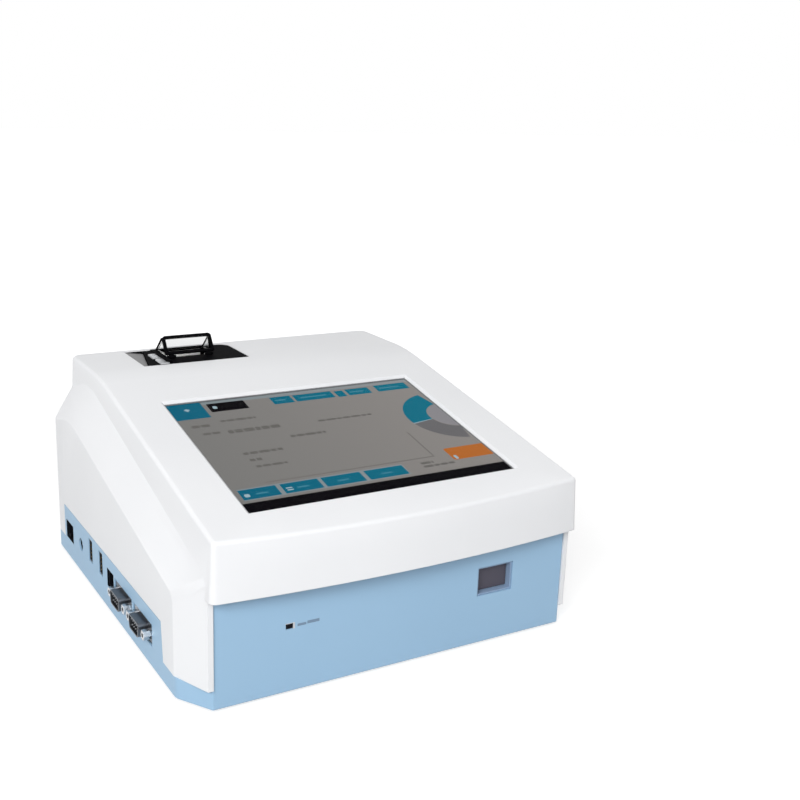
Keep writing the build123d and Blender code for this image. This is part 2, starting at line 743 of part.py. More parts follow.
def strut_profile():
    """Thin rear strut from the tie bar up to the ridge, as (y, z) points."""
    y, z = ridge_point()
    tie_y = LID_PIN_Y + TIE_REACH
    return [(tie_y - 0.7, LID_PIN_Z), (tie_y + 0.7, LID_PIN_Z), (y + 0.9, z), (y - 0.5, z)]


def make_lid_window():
    """Clear window: front pane with a triangular gusset at each end."""
    pane = lid_frame_of_reference()
    inner, radii = pane_opening()
    front = extrude(pane * Pos(0, 0, 0.5) * rounded_face(inner, radii), amount=0.8)
    y, z = ridge_point()
    tie_y = LID_PIN_Y + TIE_REACH
    window = [front]
    for x in (LID_LEFT + 1.0, LID_RIGHT - 1.8):
        window.append(
            side_prism(
                [(LID_PIN_Y + 4.4, LID_PIN_Z + 1.4), (tie_y - 1.9, LID_PIN_Z + 0.9), (y + 1.2, z - 1.9), (y - 0.2, z - 2.4)],
                x,
                x + 0.8,
            )
        )
    return window


def make_lid_pin():
    """Two steel pins of the lid."""
    return lid_pins()


def make_platen_roller():
    """Rubber sleeve that moves the paper."""
    return rod_x(-54.6, -21.4, PLATEN_Y, PLATEN_Z, PLATEN_R) - rod_x(-60, -10, PLATEN_Y, PLATEN_Z, 1.5)


def make_platen_shaft():
    """Steel shaft of the platen, carried in the walls of the paper well."""
    return rod_x(-57.8, -14.2, PLATEN_Y, PLATEN_Z, 1.5)


def spur_gear(teeth, width, bore):
    """Straight-toothed gear on X with thinned teeth for running clearance."""
    pitch = teeth * GEAR_MODULE / 2
    tip = pitch + 0.85 * GEAR_MODULE
    root = pitch - 1.15 * GEAR_MODULE
    step = 2 * math.pi / teeth
    points = []
    for i in range(teeth):
        middle = i * step
        for radius, share in ((root, -0.30), (tip, -0.10), (tip, 0.10), (root, 0.30)):
            angle = middle + share * step
            points.append((radius * math.cos(angle), radius * math.sin(angle)))
    gear = extrude(Plane.YZ * rounded_face(points, [0] * len(points)), amount=width, dir=(1, 0, 0))
    return gear - rod_x(-10, 20, 0, 0, bore)


def motor_place():
    """Axis of the feed motor as (y, z), one mesh distance from the platen's shaft."""
    distance = (PLATEN_TEETH + PINION_TEETH) * GEAR_MODULE / 2 + 0.05
    lean = math.radians(215)
    return PLATEN_Y + distance * math.cos(lean), PLATEN_Z + distance * math.sin(lean)


def make_platen_gear():
    """Gear on the platen's shaft."""
    return Pos(-17.6, PLATEN_Y, PLATEN_Z) * spur_gear(PLATEN_TEETH, 2.4, 1.5)


def make_motor_pinion():
    """Pinion on the feed motor, turned so that its teeth fall between the gear's."""
    y, z = motor_place()
    facing = 215.0
    gear_phase = facing / (360 / PLATEN_TEETH)
    pinion_phase = (facing + 180) / (360 / PINION_TEETH)
    turn = (pinion_phase - math.floor(pinion_phase) + gear_phase - math.floor(gear_phase) - 0.5)
    pinion = Rot(turn * 360 / PINION_TEETH, 0, 0) * spur_gear(PINION_TEETH, 2.6, 0.75)
    pinion += rod_x(0, 5.0, 0, 0, 0.75)
    return Pos(-17.7, y, z) * pinion


def make_feed_motor():
    """Small stepper motor with its two-eared flange."""
    y, z = motor_place()
    motor = rod_x(-12.8, -6.5, y, z, 7.5)
    ears = [(y - 2.6, z - 12.8), (y + 2.6, z - 12.8), (y + 2.6, z + 12.8), (y - 2.6, z + 12.8)]
    flange = side_prism(ears, -7.1, -6.5, [2.5, 2.5, 2.5, 2.5])
    return motor + flange - rod_x(-14, -10, y, z, 0.75 + RUN)


def make_print_head():
    """Print head: ceramic face on a finned aluminium plate behind the paper."""
    head = block(-54.8, -21.2, 232.6, 234.3, 99, 112)
    head -= block(-60, -20, 232.0, 233.0, 99, 101.5)
    for row in range(3):
        head -= block(-60, -20, 233.7, 235, 102 + row * 3, 103.4 + row * 3)
    return head


def make_paper_roll():
    """Wound paper on its core."""
    return rod_x(-53.4, -22.6, ROLL_Y, ROLL_Z, ROLL_R) - rod_x(-60, -20, ROLL_Y, ROLL_Z, 4.05)


def make_roll_core():
    """Plastic core inside the paper roll."""
    return rod_x(-53.4, -22.6, ROLL_Y, ROLL_Z, 4.05) - rod_x(-60, -20, ROLL_Y, ROLL_Z, 2.0 + RUN)


def make_roll_spindle():
    """Spindle of the paper roll, whose square ends sit in the walls of the paper well."""
    ends = block(-57.9, -18.7, ROLL_Y - 1.4, ROLL_Y + 1.4, ROLL_Z - 1.4, ROLL_Z + 1.4)
    return ends + rod_x(-55.6, -20.4, ROLL_Y, ROLL_Z, 2.0)


def make_paper_tape():
    """End of the tape, standing up out of the printer behind the tie bar."""
    return block(-53.0, -23.0, 232.35, 232.6, 101, CASE_HEIGHT - 0.2)


def key_body(front, rear, top, flange):
    """Key beside the lid: pad over the bezel, stem through it and a flange that keeps it in."""
    pad = block(KEY_LEFT, KEY_RIGHT, front, rear, 123.4, top)
    pad = fillet(pad.edges().filter_by(Axis.Z), 0.8)
    stem = block(KEY_LEFT, KEY_RIGHT - 1.8, front, rear, BEZEL_UNDER - 1.2, 123.4)
    skirt = block(KEY_LEFT - flange, KEY_RIGHT - 1.8, front - flange, rear + flange, BEZEL_UNDER - 1.2, BEZEL_UNDER)
    return pad + stem + skirt


def make_feed_key():
    """Paper feed key, with a shallow dish in its pad."""
    key = key_body(FEED_FRONT, FEED_REAR, 127.1, 0.9)
    middle = (FEED_FRONT + FEED_REAR) / 2
    return key - rod_x(KEY_LEFT - 1, KEY_RIGHT + 1, middle, 127.1 + 19.4, 20)


def make_lid_catch():
    """Sliding catch of the lid, with three grip ribs."""
    catch = key_body(CATCH_FRONT, CATCH_REAR, 127.0, 0.9)
    for row in range(3):
        y = CATCH_FRONT + 2.4 + row * 2.6
        catch += block(KEY_LEFT + 0.8, KEY_RIGHT - 0.8, y, y + 1, 127.0, 127.6)
    return catch


# Card slot


def make_slot_frame():
    """Liner of the card slot, flanged behind the front wall."""
    liner = block(SLOT_LEFT + 0.1, SLOT_RIGHT - 0.1, 0.9, 6.0, SLOT_BOTTOM + 0.1, SLOT_TOP - 0.1)
    liner += block(SLOT_LEFT - 2.5, SLOT_RIGHT + 2.5, WALL, WALL + 1.4, SLOT_BOTTOM - 2.5, SLOT_TOP + 2.5)
    wall = LINER_WALL
    return liner - block(SLOT_LEFT + wall, SLOT_RIGHT - wall, -1, 8, SLOT_BOTTOM + wall, SLOT_TOP - wall)


def make_stage_frame():
    """Folded frame that carries the guide rods, the screw and the motor."""
    left = STAGE_X - STAGE_HALF
    right = STAGE_X + STAGE_HALF
    plate = 3.0
    frame = block(left, right, STAGE_FRONT, STAGE_REAR + 4, STAGE_FLOOR, STAGE_FLOOR + STAGE_SHEET)
    for y in (STAGE_FRONT, STAGE_REAR - plate):
        frame += block(left, right, y, y + plate, STAGE_FLOOR, DRIVE_Z + 5.6)
    for x in (left, right - STAGE_SHEET):
        frame += block(x, x + STAGE_SHEET, STAGE_FRONT, STAGE_REAR, STAGE_FLOOR, STAGE_FLOOR + 7)
    for x in ROD_XS:
        frame -= rod_y(x, 0, STAGE_REAR + 12, DRIVE_Z, ROD_R)
    frame -= rod_y(STAGE_X, 0, 100, DRIVE_Z, BEARING_R)
    frame -= rod_y(STAGE_X, 100, STAGE_REAR + 12, DRIVE_Z, BEARING_R + 1)
    for x in (left + 6, right - 6):
        for y in (30, 125):
            frame += block(x - 3, x + 3, y - 3, y + 3, WALL, STAGE_FLOOR)
    return frame


def make_guide_rods():
    """Two ground rods on which the tray's carriage runs."""
    return [rod_y(x, STAGE_FRONT, STAGE_REAR, DRIVE_Z, ROD_R) for x in ROD_XS]


def make_card_tray():
    """Card drawer and its carriage: front plate, pocket for the card, ears with rod bores."""
    x0 = STAGE_X - TRAY_WIDTH / 2
    x1 = STAGE_X + TRAY_WIDTH / 2
    rim = 1.7
    pocket_depth = 4.6
    tray = block(x0, x1, TRAY_FRONT, CARRIAGE_REAR, TRAY_BOTTOM, TRAY_TOP)
    tray -= block(
        x0 + rim, x1 - rim, TRAY_FRONT + 2, TRAY_FRONT + CARD_LENGTH, TRAY_TOP - pocket_depth, TRAY_TOP + 1
    )
    edge = LINER_WALL + DRAWER_GAP
    tray += block(
        SLOT_LEFT + edge, SLOT_RIGHT - edge, DRAWER_FRONT, TRAY_FRONT + 0.1, SLOT_BOTTOM + edge, SLOT_TOP - edge
    )
    neck = TRAY_BOTTOM - 1.6
    carriage = block(STAGE_X - 19, STAGE_X + 19, CARRIAGE_FRONT, CARRIAGE_REAR, DRIVE_Z - 5.5, neck)
    carriage += block(x0, x1, CARRIAGE_FRONT, CARRIAGE_REAR, neck, TRAY_BOTTOM)
    flag_rear = CARRIAGE_REAR + 13
    carriage += block(FLAG_X - 0.4, FLAG_X + 0.4, CARRIAGE_REAR - 4, flag_rear, DRIVE_Z - 9, DRIVE_Z - 4.5)
    for x in ROD_XS:
        carriage -= rod_y(x, CARRIAGE_FRONT - 6, CARRIAGE_REAR + 5, DRIVE_Z, BUSH_R)
    carriage -= lead_nut_form(CARRIAGE_FRONT - 6, CARRIAGE_REAR + 5)
    return tray + carriage


def make_guide_bushes():
    """Two long bronze bushes in the carriage."""
    return [
        rod_y(x, CARRIAGE_FRONT, CARRIAGE_REAR, DRIVE_Z, BUSH_R) - rod_y(x, 70, 110, DRIVE_Z, ROD_R + RUN)
        for x in ROD_XS
    ]


def lead_nut_form(y0, y1):
    """Hexagonal bar on the axis of the lead screw."""
    bar = extrude(Plane.XZ * Pos(STAGE_X, DRIVE_Z, 0) * RegularPolygon(5, 6), amount=y1 - y0)
    return Pos(0, y1, 0) * bar


def make_lead_nut():
    """Brass nut of the lead screw, fixed in the carriage."""
    nut = lead_nut_form(82, 98)
    return nut - rod_y(STAGE_X, 80, 100, DRIVE_Z, SCREW_R + RUN)


def make_lead_screw():
    """Lead screw, which is also the stepper motor's shaft."""
    return rod_y(STAGE_X, STAGE_FRONT - 0.6, MOTOR_FACE - 0.4, DRIVE_Z, SCREW_R)


def make_screw_bearing():
    """Bush at the front end of the lead screw."""
    bush = rod_y(STAGE_X, STAGE_FRONT - 0.4, STAGE_FRONT + 3.4, DRIVE_Z, BEARING_R)
    return bush - rod_y(STAGE_X, 0, 20, DRIVE_Z, SCREW_R + RUN)


def make_stage_motor():
    """Square stepper motor behind the stage."""
    half = 10.2
    rear = 176.0
    can = block(STAGE_X - half, STAGE_X + half, MOTOR_FACE, rear, DRIVE_Z - half, DRIVE_Z + half)
    can = chamfer(can.edges().filter_by(Axis.Y), 2.2)
    can += block(STAGE_X - half, STAGE_X + half, STAGE_REAR, MOTOR_FACE, DRIVE_Z - half, DRIVE_Z + half)
    can -= rod_y(STAGE_X, STAGE_REAR - 1, MOTOR_FACE, DRIVE_Z, SCREW_R + RUN)
    return can + block(STAGE_X + half, STAGE_X + half + 5, rear - 8, rear - 1, DRIVE_Z - 4, DRIVE_Z + 4)


def make_optics_bridge():
    """Bridge over the tray that carries the reading head."""
    left = STAGE_X - BRIDGE_HALF
    right = STAGE_X + BRIDGE_HALF
    front = HEAD_Y - 18
    rear = HEAD_Y + 18
    under = BRIDGE_TOP - BRIDGE_SHEET
    bridge = block(left, right, front, rear, under, BRIDGE_TOP)
    for x in (left, right - BRIDGE_SHEET):
        bridge += block(x, x + BRIDGE_SHEET, front, rear, WALL, under)
    return bridge - rod_z(STAGE_X, HEAD_Y, under - 2, BRIDGE_TOP + 1.5, BARREL_R + 0.2)


def lamp_axis():
    """Middle and direction of the head's angled lamp tube."""
    return Pos(STAGE_X, HEAD_Y - 16, 56) * Rot(60, 0, 0)


def make_optical_head():
    """Reading head with its barrel, the angled lamp tube and a stepped lid."""
    front = HEAD_Y - 16
    rear = HEAD_Y + 16
    head = block(STAGE_X - 17, STAGE_X + 17, front, rear, BRIDGE_TOP, HEAD_TOP)
    head = chamfer(head.edges().filter_by(Axis.Z), 2)
    head += rod_z(STAGE_X, HEAD_Y, BARREL_END, BRIDGE_TOP, BARREL_R)
    head += block(STAGE_X - 13, STAGE_X + 13, front + 4, rear - 4, HEAD_TOP, HEAD_TOP + 3)
    head += lamp_axis() * Cylinder(6, 20)
    head -= lamp_axis() * Pos(0, 0, 5) * Cylinder(LAMP_R, 20)
    return head - rod_z(STAGE_X, HEAD_Y, BARREL_END - 0.4, BRIDGE_TOP + 1.5, LENS_R)


def make_objective_lens():
    """Objective lens in the end of the head's barrel."""
    return rod_z(STAGE_X, HEAD_Y, BARREL_END + 0.8, BRIDGE_TOP - 0.5, LENS_R)


def make_led_module():
    """Excitation lamp in the head's angled tube."""
    return lamp_axis() * Pos(0, 0, 5) * Cylinder(LAMP_R, 14)


def make_detector_board():
    """Detector board on top of the reading head."""
    under = HEAD_TOP + 3
    top = under + 1.6
    board = block(STAGE_X - 15, STAGE_X + 15, HEAD_Y - 16, HEAD_Y + 16, under, top)
    board += rod_z(STAGE_X, HEAD_Y, top, top + 3.4, 4.6)
    return board + block(STAGE_X + 6, STAGE_X + 13, HEAD_Y + 6, HEAD_Y + 14, top, top + 3.4)


def make_home_sensor():
    """Forked light barrier that finds the tray's home position."""
    fork = block(FLAG_X - 3, FLAG_X + 3, 108, 121, 6.6, 19.5)
    return fork - block(FLAG_X - 1.3, FLAG_X + 1.3, 107, 122, 11, 21)


# Connectors


def make_network_port():
    """Modular network socket with its stepped mouth."""
    body = block(INSIDE_X - 1.8, INSIDE_X + 13, NETWORK_Y - 7.8, NETWORK_Y + 7.8, BOARD_TOP, 23.8)
    mouth = block(INSIDE_X - 3, INSIDE_X + 10, NETWORK_Y - 5.9, NETWORK_Y + 5.9, 14.6, 21.8)
    latch = block(INSIDE_X - 3, INSIDE_X + 8, NETWORK_Y - 3.1, NETWORK_Y + 3.1, 12.2, 15)
    return body - block(INSIDE_X - 3, INSIDE_X, NETWORK_Y - 9, NETWORK_Y + 9, 9, 12.2) - mouth - latch


def make_power_jack():
    """Round low-voltage jack with its centre pin."""
    body = block(INSIDE_X, INSIDE_X + 12, POWER_Y - 4.5, POWER_Y + 4.5, BOARD_TOP, JACK_Z + 4.9)
    body += rod_x(INSIDE_X - 1.8, INSIDE_X, POWER_Y, JACK_Z, 3.9)
    body -= rod_x(INSIDE_X - 3, INSIDE_X + 9, POWER_Y, JACK_Z, 2.8)
    return body + rod_x(INSIDE_X - 0.6, INSIDE_X + 10, POWER_Y, JACK_Z, 1.0)


def usb_socket(y):
    """Upright USB socket: folded shell round a tongue."""
    half = 3.3
    sheet = 0.7
    floor_x = INSIDE_X + 10
    rear_x = INSIDE_X + 13
    shell = block(INSIDE_X - 2.4, rear_x, y - half, y + half, USB_BOTTOM, USB_TOP)
    inner = half - sheet
    shell -= block(INSIDE_X - 4, floor_x, y - inner, y + inner, USB_BOTTOM + sheet, USB_TOP - sheet)
    tongue = block(INSIDE_X - 1.2, floor_x, y - 0.2, y + 1.6, USB_BOTTOM + 1.6, USB_TOP - 1.6)
    foot = block(INSIDE_X + 1, rear_x, y - half, y + half, BOARD_TOP, USB_BOTTOM)
    return shell + tongue + foot


def make_device_port():
    """Square device socket with cut upper corners."""
    half = 6.0
    body = block(INSIDE_X - 2, INSIDE_X + 14, DEVICE_Y - half, DEVICE_Y + half, 14.4, 25.2)
    mouth = [
        (DEVICE_Y - 4.3, 15.6),
        (DEVICE_Y + 4.3, 15.6),
        (DEVICE_Y + 4.3, 21.9),
        (DEVICE_Y + 2.6, 24.0),
        (DEVICE_Y - 2.6, 24.0),
        (DEVICE_Y - 4.3, 21.9),
    ]
    body -= side_prism(mouth, INSIDE_X - 4, INSIDE_X + 8)
    body += block(INSIDE_X - 0.5, INSIDE_X + 9, DEVICE_Y - 2.8, DEVICE_Y + 2.8, 18.0, 21.2)
    return body + block(INSIDE_X + 1, INSIDE_X + 14, DEVICE_Y - half, DEVICE_Y + half, BOARD_TOP, 14.4)


def d_profile(y, half_long, half_high, slant):
    """D-shaped outline of a serial socket as (y, z) points, wide side up."""
    return [
        (y - half_long + slant, SERIAL_Z - half_high),
        (y + half_long - slant, SERIAL_Z - half_high),
        (y + half_long, SERIAL_Z + half_high),
        (y - half_long, SERIAL_Z + half_high),
    ]


def serial_socket(y):
    """Nine-way serial socket: flange in its opening, D-shaped shell and the body behind."""
    face = OUTSIDE_X + 0.8
    shell = side_prism(d_profile(y, 8.45, 4.15, 1.3), face - 5.8, face, [2, 2, 2, 2])
    shell += block(face, face + 1, y - 15.4, y + 15.4, SERIAL_Z - 6.2, SERIAL_Z + 6.2)
    shell += block(face + 1, face + 12, y - 9.6, y + 9.6, SERIAL_Z - 6.2, SERIAL_Z + 4.6)
    shell += block(INSIDE_X, face + 12, y - 9.6, y + 9.6, BOARD_TOP, SERIAL_Z - 6.2)
    return shell - side_prism(d_profile(y, 7.75, 3.45, 1.3), face - 7, face - 0.4, [1.5, 1.5, 1.5, 1.5])


def make_jack_nuts():
    """Four hexagonal jack nuts on the flanges of the serial sockets."""
    nuts = []
    for y in (SERIAL_REAR_Y, SERIAL_FRONT_Y):
        for side in (-SERIAL_SCREW_SPREAD / 2, SERIAL_SCREW_SPREAD / 2):
            place = Plane.YZ.offset(OUTSIDE_X - 4.2) * Pos(y + side, SERIAL_Z, 0)
            nuts.append(hex_bar(place, 2.5, 5.0) - hex_bar(place * Pos(0, 0, -1), 1.2, 4.7))
    return nuts


def make_main_board():
    """Main board with its processor, memory, capacitors and headers."""
    board = block(-113, -30, 48, 228, BOARD_BOTTOM, BOARD_TOP)
    board -= block(-120, -99, 226, 240, 0, 20)
    for x0, x1, y0, y1, high in (
        (-80, -60, 100, 120, 1.6),
        (-56, -46, 100, 118, 1.2),
        (-80, -66, 140, 154, 1.6),
        (-50, -36, 60, 64, 8),
        (-50, -36, 200, 204, 8),
    ):
        board += block(x0, x1, y0, y1, BOARD_TOP, BOARD_TOP + high)
    for y in (176, 188):
        board += rod_z(-72, y, BOARD_TOP, BOARD_TOP + 10, 4)
    for x, y in board_screw_places():
        board -= hex_bar(Pos(x, y, 0), 1.6, 20)
    return board


def board_screw_places():
    """Places of the main board's four screws."""
    return [(x, y) for x in (-92, -35) for y in (54, 222)]


def make_board_standoffs():
    """Four brass standoffs under the main board."""
    return [
        hex_bar(Pos(x, y, WALL), 2.6, BOARD_BOTTOM - WALL) - hex_bar(Pos(x, y, WALL + 1), 1.2, 20)
        for x, y in board_screw_places()
    ]


def make_board_screws():
    """Four screws of the main board."""
    return [Pos(x, y, BOARD_TOP) * hex_screw(1.15, 5, 5, 1.6) for x, y in board_screw_places()]


def make_power_board():
    """Power board with a coil and capacitors, on moulded pillars."""
    board = block(-20, 32, 182, 232, BOARD_BOTTOM, BOARD_TOP)
    for x in (-16, 28):
        for y in (186, 228):
            board += block(x - 2.5, x + 2.5, y - 2.5, y + 2.5, WALL, BOARD_BOTTOM)
    board += block(-8, 6, 190, 204, BOARD_TOP, BOARD_TOP + 8)
    return board + rod_z(18, 198, BOARD_TOP, BOARD_TOP + 13, 5)


def make_speaker():
    """Round beeper over the slots in the base."""
    return rod_z(SPEAKER_X, SPEAKER_Y, WALL, WALL + 5, 13)


def make_indicator_lens():
    """Small dark lens of the front indicator."""
    lens = block(-67.8, -64.0, 0.3, WALL + 0.8, 34.9, 37.6)
    return lens + block(-69, -62.8, WALL, WALL + 1.6, 33.8, 38.7)


def make_power_switch():
    """Body of the power switch with its bezel."""
    inner = switch_block(8.2, 5.2, PANEL_FACE - 6, PANEL_FACE + 3)
    bezel = switch_block(10.5, 7.5, PANEL_FACE, PANEL_FACE + 1.4)
    return switch_block(SWITCH_HALF_X, SWITCH_HALF_Z, PANEL_FACE - 14, PANEL_FACE) + bezel - inner


def make_power_rocker():
    """Rocker key of the power switch, tilted to off."""
    axis_y = CASE_DEPTH - 2.4
    face = [
        (SWITCH_X - 7.7, axis_y - 1.2),
        (SWITCH_X - 7.7, axis_y + 3.4),
        (SWITCH_X, axis_y + 2.4),
        (SWITCH_X + 7.7, axis_y + 3.4),
        (SWITCH_X + 7.7, axis_y - 1.2),
        (SWITCH_X, axis_y - 3.0),
    ]
    key = plan_prism(face, SWITCH_Z - 4.9, SWITCH_Z + 4.9, [0.4, 0.8, 12, 0.8, 0.4, 2])
    turn = Pos(SWITCH_X, axis_y, SWITCH_Z) * Rot(0, 0, 8) * Pos(-SWITCH_X, -axis_y, -SWITCH_Z)
    return turn * key


PIECES = {
    "top_cover": make_top_cover,
    "base_tray": make_base_tray,
    "rear_panel": make_rear_panel,
    "rubber_feet": make_rubber_feet,
    "case_screws": make_case_screws,
    "panel_screws": make_panel_screws,
    "glass_gasket": make_glass_gasket,
    "touch_glass": make_touch_glass,
    "lcd_panel": make_lcd_panel,
    "lcd_bracket": make_lcd_bracket,
    "lcd_board": make_lcd_board,
    "lcd_spacers": make_lcd_spacers,
    "bracket_screws": make_bracket_screws,
    "printer_bezel": make_printer_bezel,
    "lid_frame": make_lid_frame,
    "lid_window": make_lid_window,
    "lid_pin": make_lid_pin,
    "platen_roller": make_platen_roller,
    "platen_shaft": make_platen_shaft,
    "platen_gear": make_platen_gear,
    "motor_pinion": make_motor_pinion,
    "feed_motor": make_feed_motor,
    "print_head": make_print_head,
    "paper_roll": make_paper_roll,
    "roll_core": make_roll_core,
    "roll_spindle": make_roll_spindle,
    "paper_tape": make_paper_tape,
    "feed_key": make_feed_key,
    "lid_catch": make_lid_catch,
    "slot_frame": make_slot_frame,
    "stage_frame": make_stage_frame,
    "guide_rods": make_guide_rods,
    "guide_bushes": make_guide_bushes,
    "card_tray": make_card_tray,
    "lead_nut": make_lead_nut,
    "lead_screw": make_lead_screw,
    "screw_bearing": make_screw_bearing,
    "stage_motor": make_stage_motor,
    "optics_bridge": make_optics_bridge,
    "optical_head": make_optical_head,
    "objective_lens": make_objective_lens,
    "led_module": make_led_module,
    "detector_board": make_detector_board,
    "home_sensor": make_home_sensor,
    "network_port": make_network_port,
    "power_jack": make_power_jack,
    "usb_port_rear": lambda: usb_socket(USB_REAR_Y),
    "usb_port_front": lambda: usb_socket(USB_FRONT_Y),
    "device_port": make_device_port,
    "serial_port_rear": lambda: serial_socket(SERIAL_REAR_Y),
    "serial_port_front": lambda: serial_socket(SERIAL_FRONT_Y),
    "jack_nuts": make_jack_nuts,
    "main_board": make_main_board,
    "board_standoffs": make_board_standoffs,
    "board_screws": make_board_screws,
    "power_board": make_power_board,
    "speaker": make_speaker,
    "indicator_lens": make_indicator_lens,
    "power_switch": make_power_switch,
    "power_rocker": make_power_rocker,
}


def export_all():
    """Write one STEP file for each piece."""
    os.makedirs("parts", exist_ok=True)
    for name, maker in PIECES.items():
        made = maker()
        shapes = made if isinstance(made, list) else [made]
        solids = [solid for shape in shapes for solid in shape.solids()]
        placed = [PLACE * solid for solid in solids]
        export_step(placed[0] if len(placed) == 1 else Compound(children=placed), f"parts/{name}.step")


export_all()
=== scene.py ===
"""Desk-top test card analyzer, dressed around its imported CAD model.

Every piece is built in metres in the frame of the CAD model. The classes follow the object's own
sub-assemblies: screen, connector strip, strip printer, card stage, front, board, screws and power switch.
"""

import logging
import math
from dataclasses import dataclass, field
from enum import Enum
from functools import cache
from typing import Any, Callable, Iterable, Sequence

import bmesh
import bpy
from bpy.types import ID, Material, Mesh, Node, NodeSocket, NodeTree, Object
from mathutils import Matrix, Vector


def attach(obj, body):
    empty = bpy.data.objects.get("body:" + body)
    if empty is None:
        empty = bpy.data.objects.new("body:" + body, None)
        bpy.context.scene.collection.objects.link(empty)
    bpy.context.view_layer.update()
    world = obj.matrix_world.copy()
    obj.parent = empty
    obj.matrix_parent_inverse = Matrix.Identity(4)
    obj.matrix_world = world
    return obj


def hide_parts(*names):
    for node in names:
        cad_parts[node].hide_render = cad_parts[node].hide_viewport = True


MM = 0.001
WHITE = (1.0, 1.0, 1.0, 1.0)
LOG = logging.getLogger("analyzer")
Point = tuple[float, float, float]
Place = Callable[[float, float, float], Vector]
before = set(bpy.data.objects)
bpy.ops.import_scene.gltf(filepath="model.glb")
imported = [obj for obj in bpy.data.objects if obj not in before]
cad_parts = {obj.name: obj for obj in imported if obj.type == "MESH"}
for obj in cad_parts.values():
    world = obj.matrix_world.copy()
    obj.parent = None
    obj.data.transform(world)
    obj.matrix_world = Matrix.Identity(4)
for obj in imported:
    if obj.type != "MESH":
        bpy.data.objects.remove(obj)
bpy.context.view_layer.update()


# Places


@dataclass(frozen=True)
class Drawing:
    """Frame of the case drawing: millimetres, y = 0 on the blue front wall, z = 0 under the base."""

    middle_x: float = -2.5
    middle_y: float = 117.2
    foot: float = 1.5
    slope_deg: float = 10.85
    slope_front: tuple[float, float] = (-5.8, 91.0)

    def at(self, x: float, y: float, z: float) -> Vector:
        """Place in the scene, in metres, of a point of the drawing in mm."""
        return Vector((x - self.middle_x, y - self.middle_y, z + self.foot)) * MM

    def on_slope(self, x: float, up: float, rise: float) -> Vector:
        """Place of a point on or under the sloping face that carries the screen.

        Args:
            x: Across, in mm.
            up: Distance up the slope from its front edge, in mm.
            rise: Height over the slope, in mm.

        Returns:
            The point in metres.
        """
        lean = math.radians(self.slope_deg)
        y = self.slope_front[0] + up * math.cos(lean) - rise * math.sin(lean)
        z = self.slope_front[1] + up * math.sin(lean) + rise * math.cos(lean)
        return self.at(x, y, z)


CASE = Drawing()


# Materials


def linear(code: str) -> tuple[float, float, float, float]:
    """Turns an sRGB hex colour to linear red, green and blue with full alpha."""
    parts = [int(code[i : i + 2], 16) / 255 for i in (1, 3, 5)]
    return tuple(v / 12.92 if v <= 0.04045 else ((v + 0.055) / 1.055) ** 2.4 for v in parts) + (1.0,)


def feed(node: Node, links: dict[Any, Any]) -> None:
    """Sets or links inputs of a node.

    Args:
        node: The node.
        links: Input name or number with a value, or with the socket that feeds it.
    """
    for key, value in links.items():
        if isinstance(value, NodeSocket):
            node.id_data.links.new(value, node.inputs[key])
        else:
            node.inputs[key].default_value = value


def add(tree: NodeTree, kind: str, links: dict[Any, Any] | None = None, **settings: Any) -> Node:
    """Adds a node with its settings, values and links.

    Args:
        tree: Node tree that gets the node.
        kind: Blender's name of the node type.
        links: Input name or number with a value, or with the socket that feeds it.
        settings: Properties of the node itself.

    Returns:
        The new node.
    """
    node = tree.nodes.new(kind)
    for key, value in settings.items():
        setattr(node, key, value)
    feed(node, links or {})
    return node


class Look:
    """Material under construction: its node tree, its shader and its Object coordinates."""

    def __init__(self, name: str) -> None:
        """Starts from the plain shader.

        Args:
            name: Name of the material.
        """
        self.material = bpy.data.materials.new(name)
        self.material.use_nodes = True
        self.tree = self.material.node_tree
        self.shader = next(node for node in self.tree.nodes if node.bl_idname == "ShaderNodeBsdfPrincipled")
        self.place = self.node("ShaderNodeTexCoord").outputs["Object"]

    def node(self, kind: str, links: dict[Any, Any] | None = None, **settings: Any) -> Node:
        """Adds a node to the material."""
        return add(self.tree, kind, links, **settings)

    def every(self, width_mm: float) -> dict[str, Any]:
        """Coordinates and scale of a pattern whose features are this wide."""
        return {"Vector": self.place, "Scale": 1 / (width_mm * MM)}


@dataclass(frozen=True)
class Finish:
    """What all finishes share: a name and the base values of the shader."""

    name: str
    colour: str
    roughness: float = 0.5
    ior: float = 1.5
    gloss: float = 0.5

    def build(self) -> Material:
        """Makes the material from the base values and from what its kind of surface adds.

        Returns:
            The material.
        """
        look = Look(self.name)
        look.material.diffuse_color = linear(self.colour)
        feed(look.shader, {"Base Color": linear(self.colour), "Roughness": self.roughness, "IOR": self.ior,
                           "Specular IOR Level": self.gloss})
        self.dress(look)
        return look.material

    def dress(self, look: Look) -> None:
        """Adds what this kind of surface has beyond the base values."""
        raise NotImplementedError

    def tint(self, look: Look, factor: NodeSocket, other: str) -> NodeSocket:
        """Mixes the finish's colour with a share of another one, given as hex."""
        links = {0: factor, 6: linear(self.colour), 7: linear(other)}
        return look.node("ShaderNodeMix", links, data_type="RGBA").outputs[2]


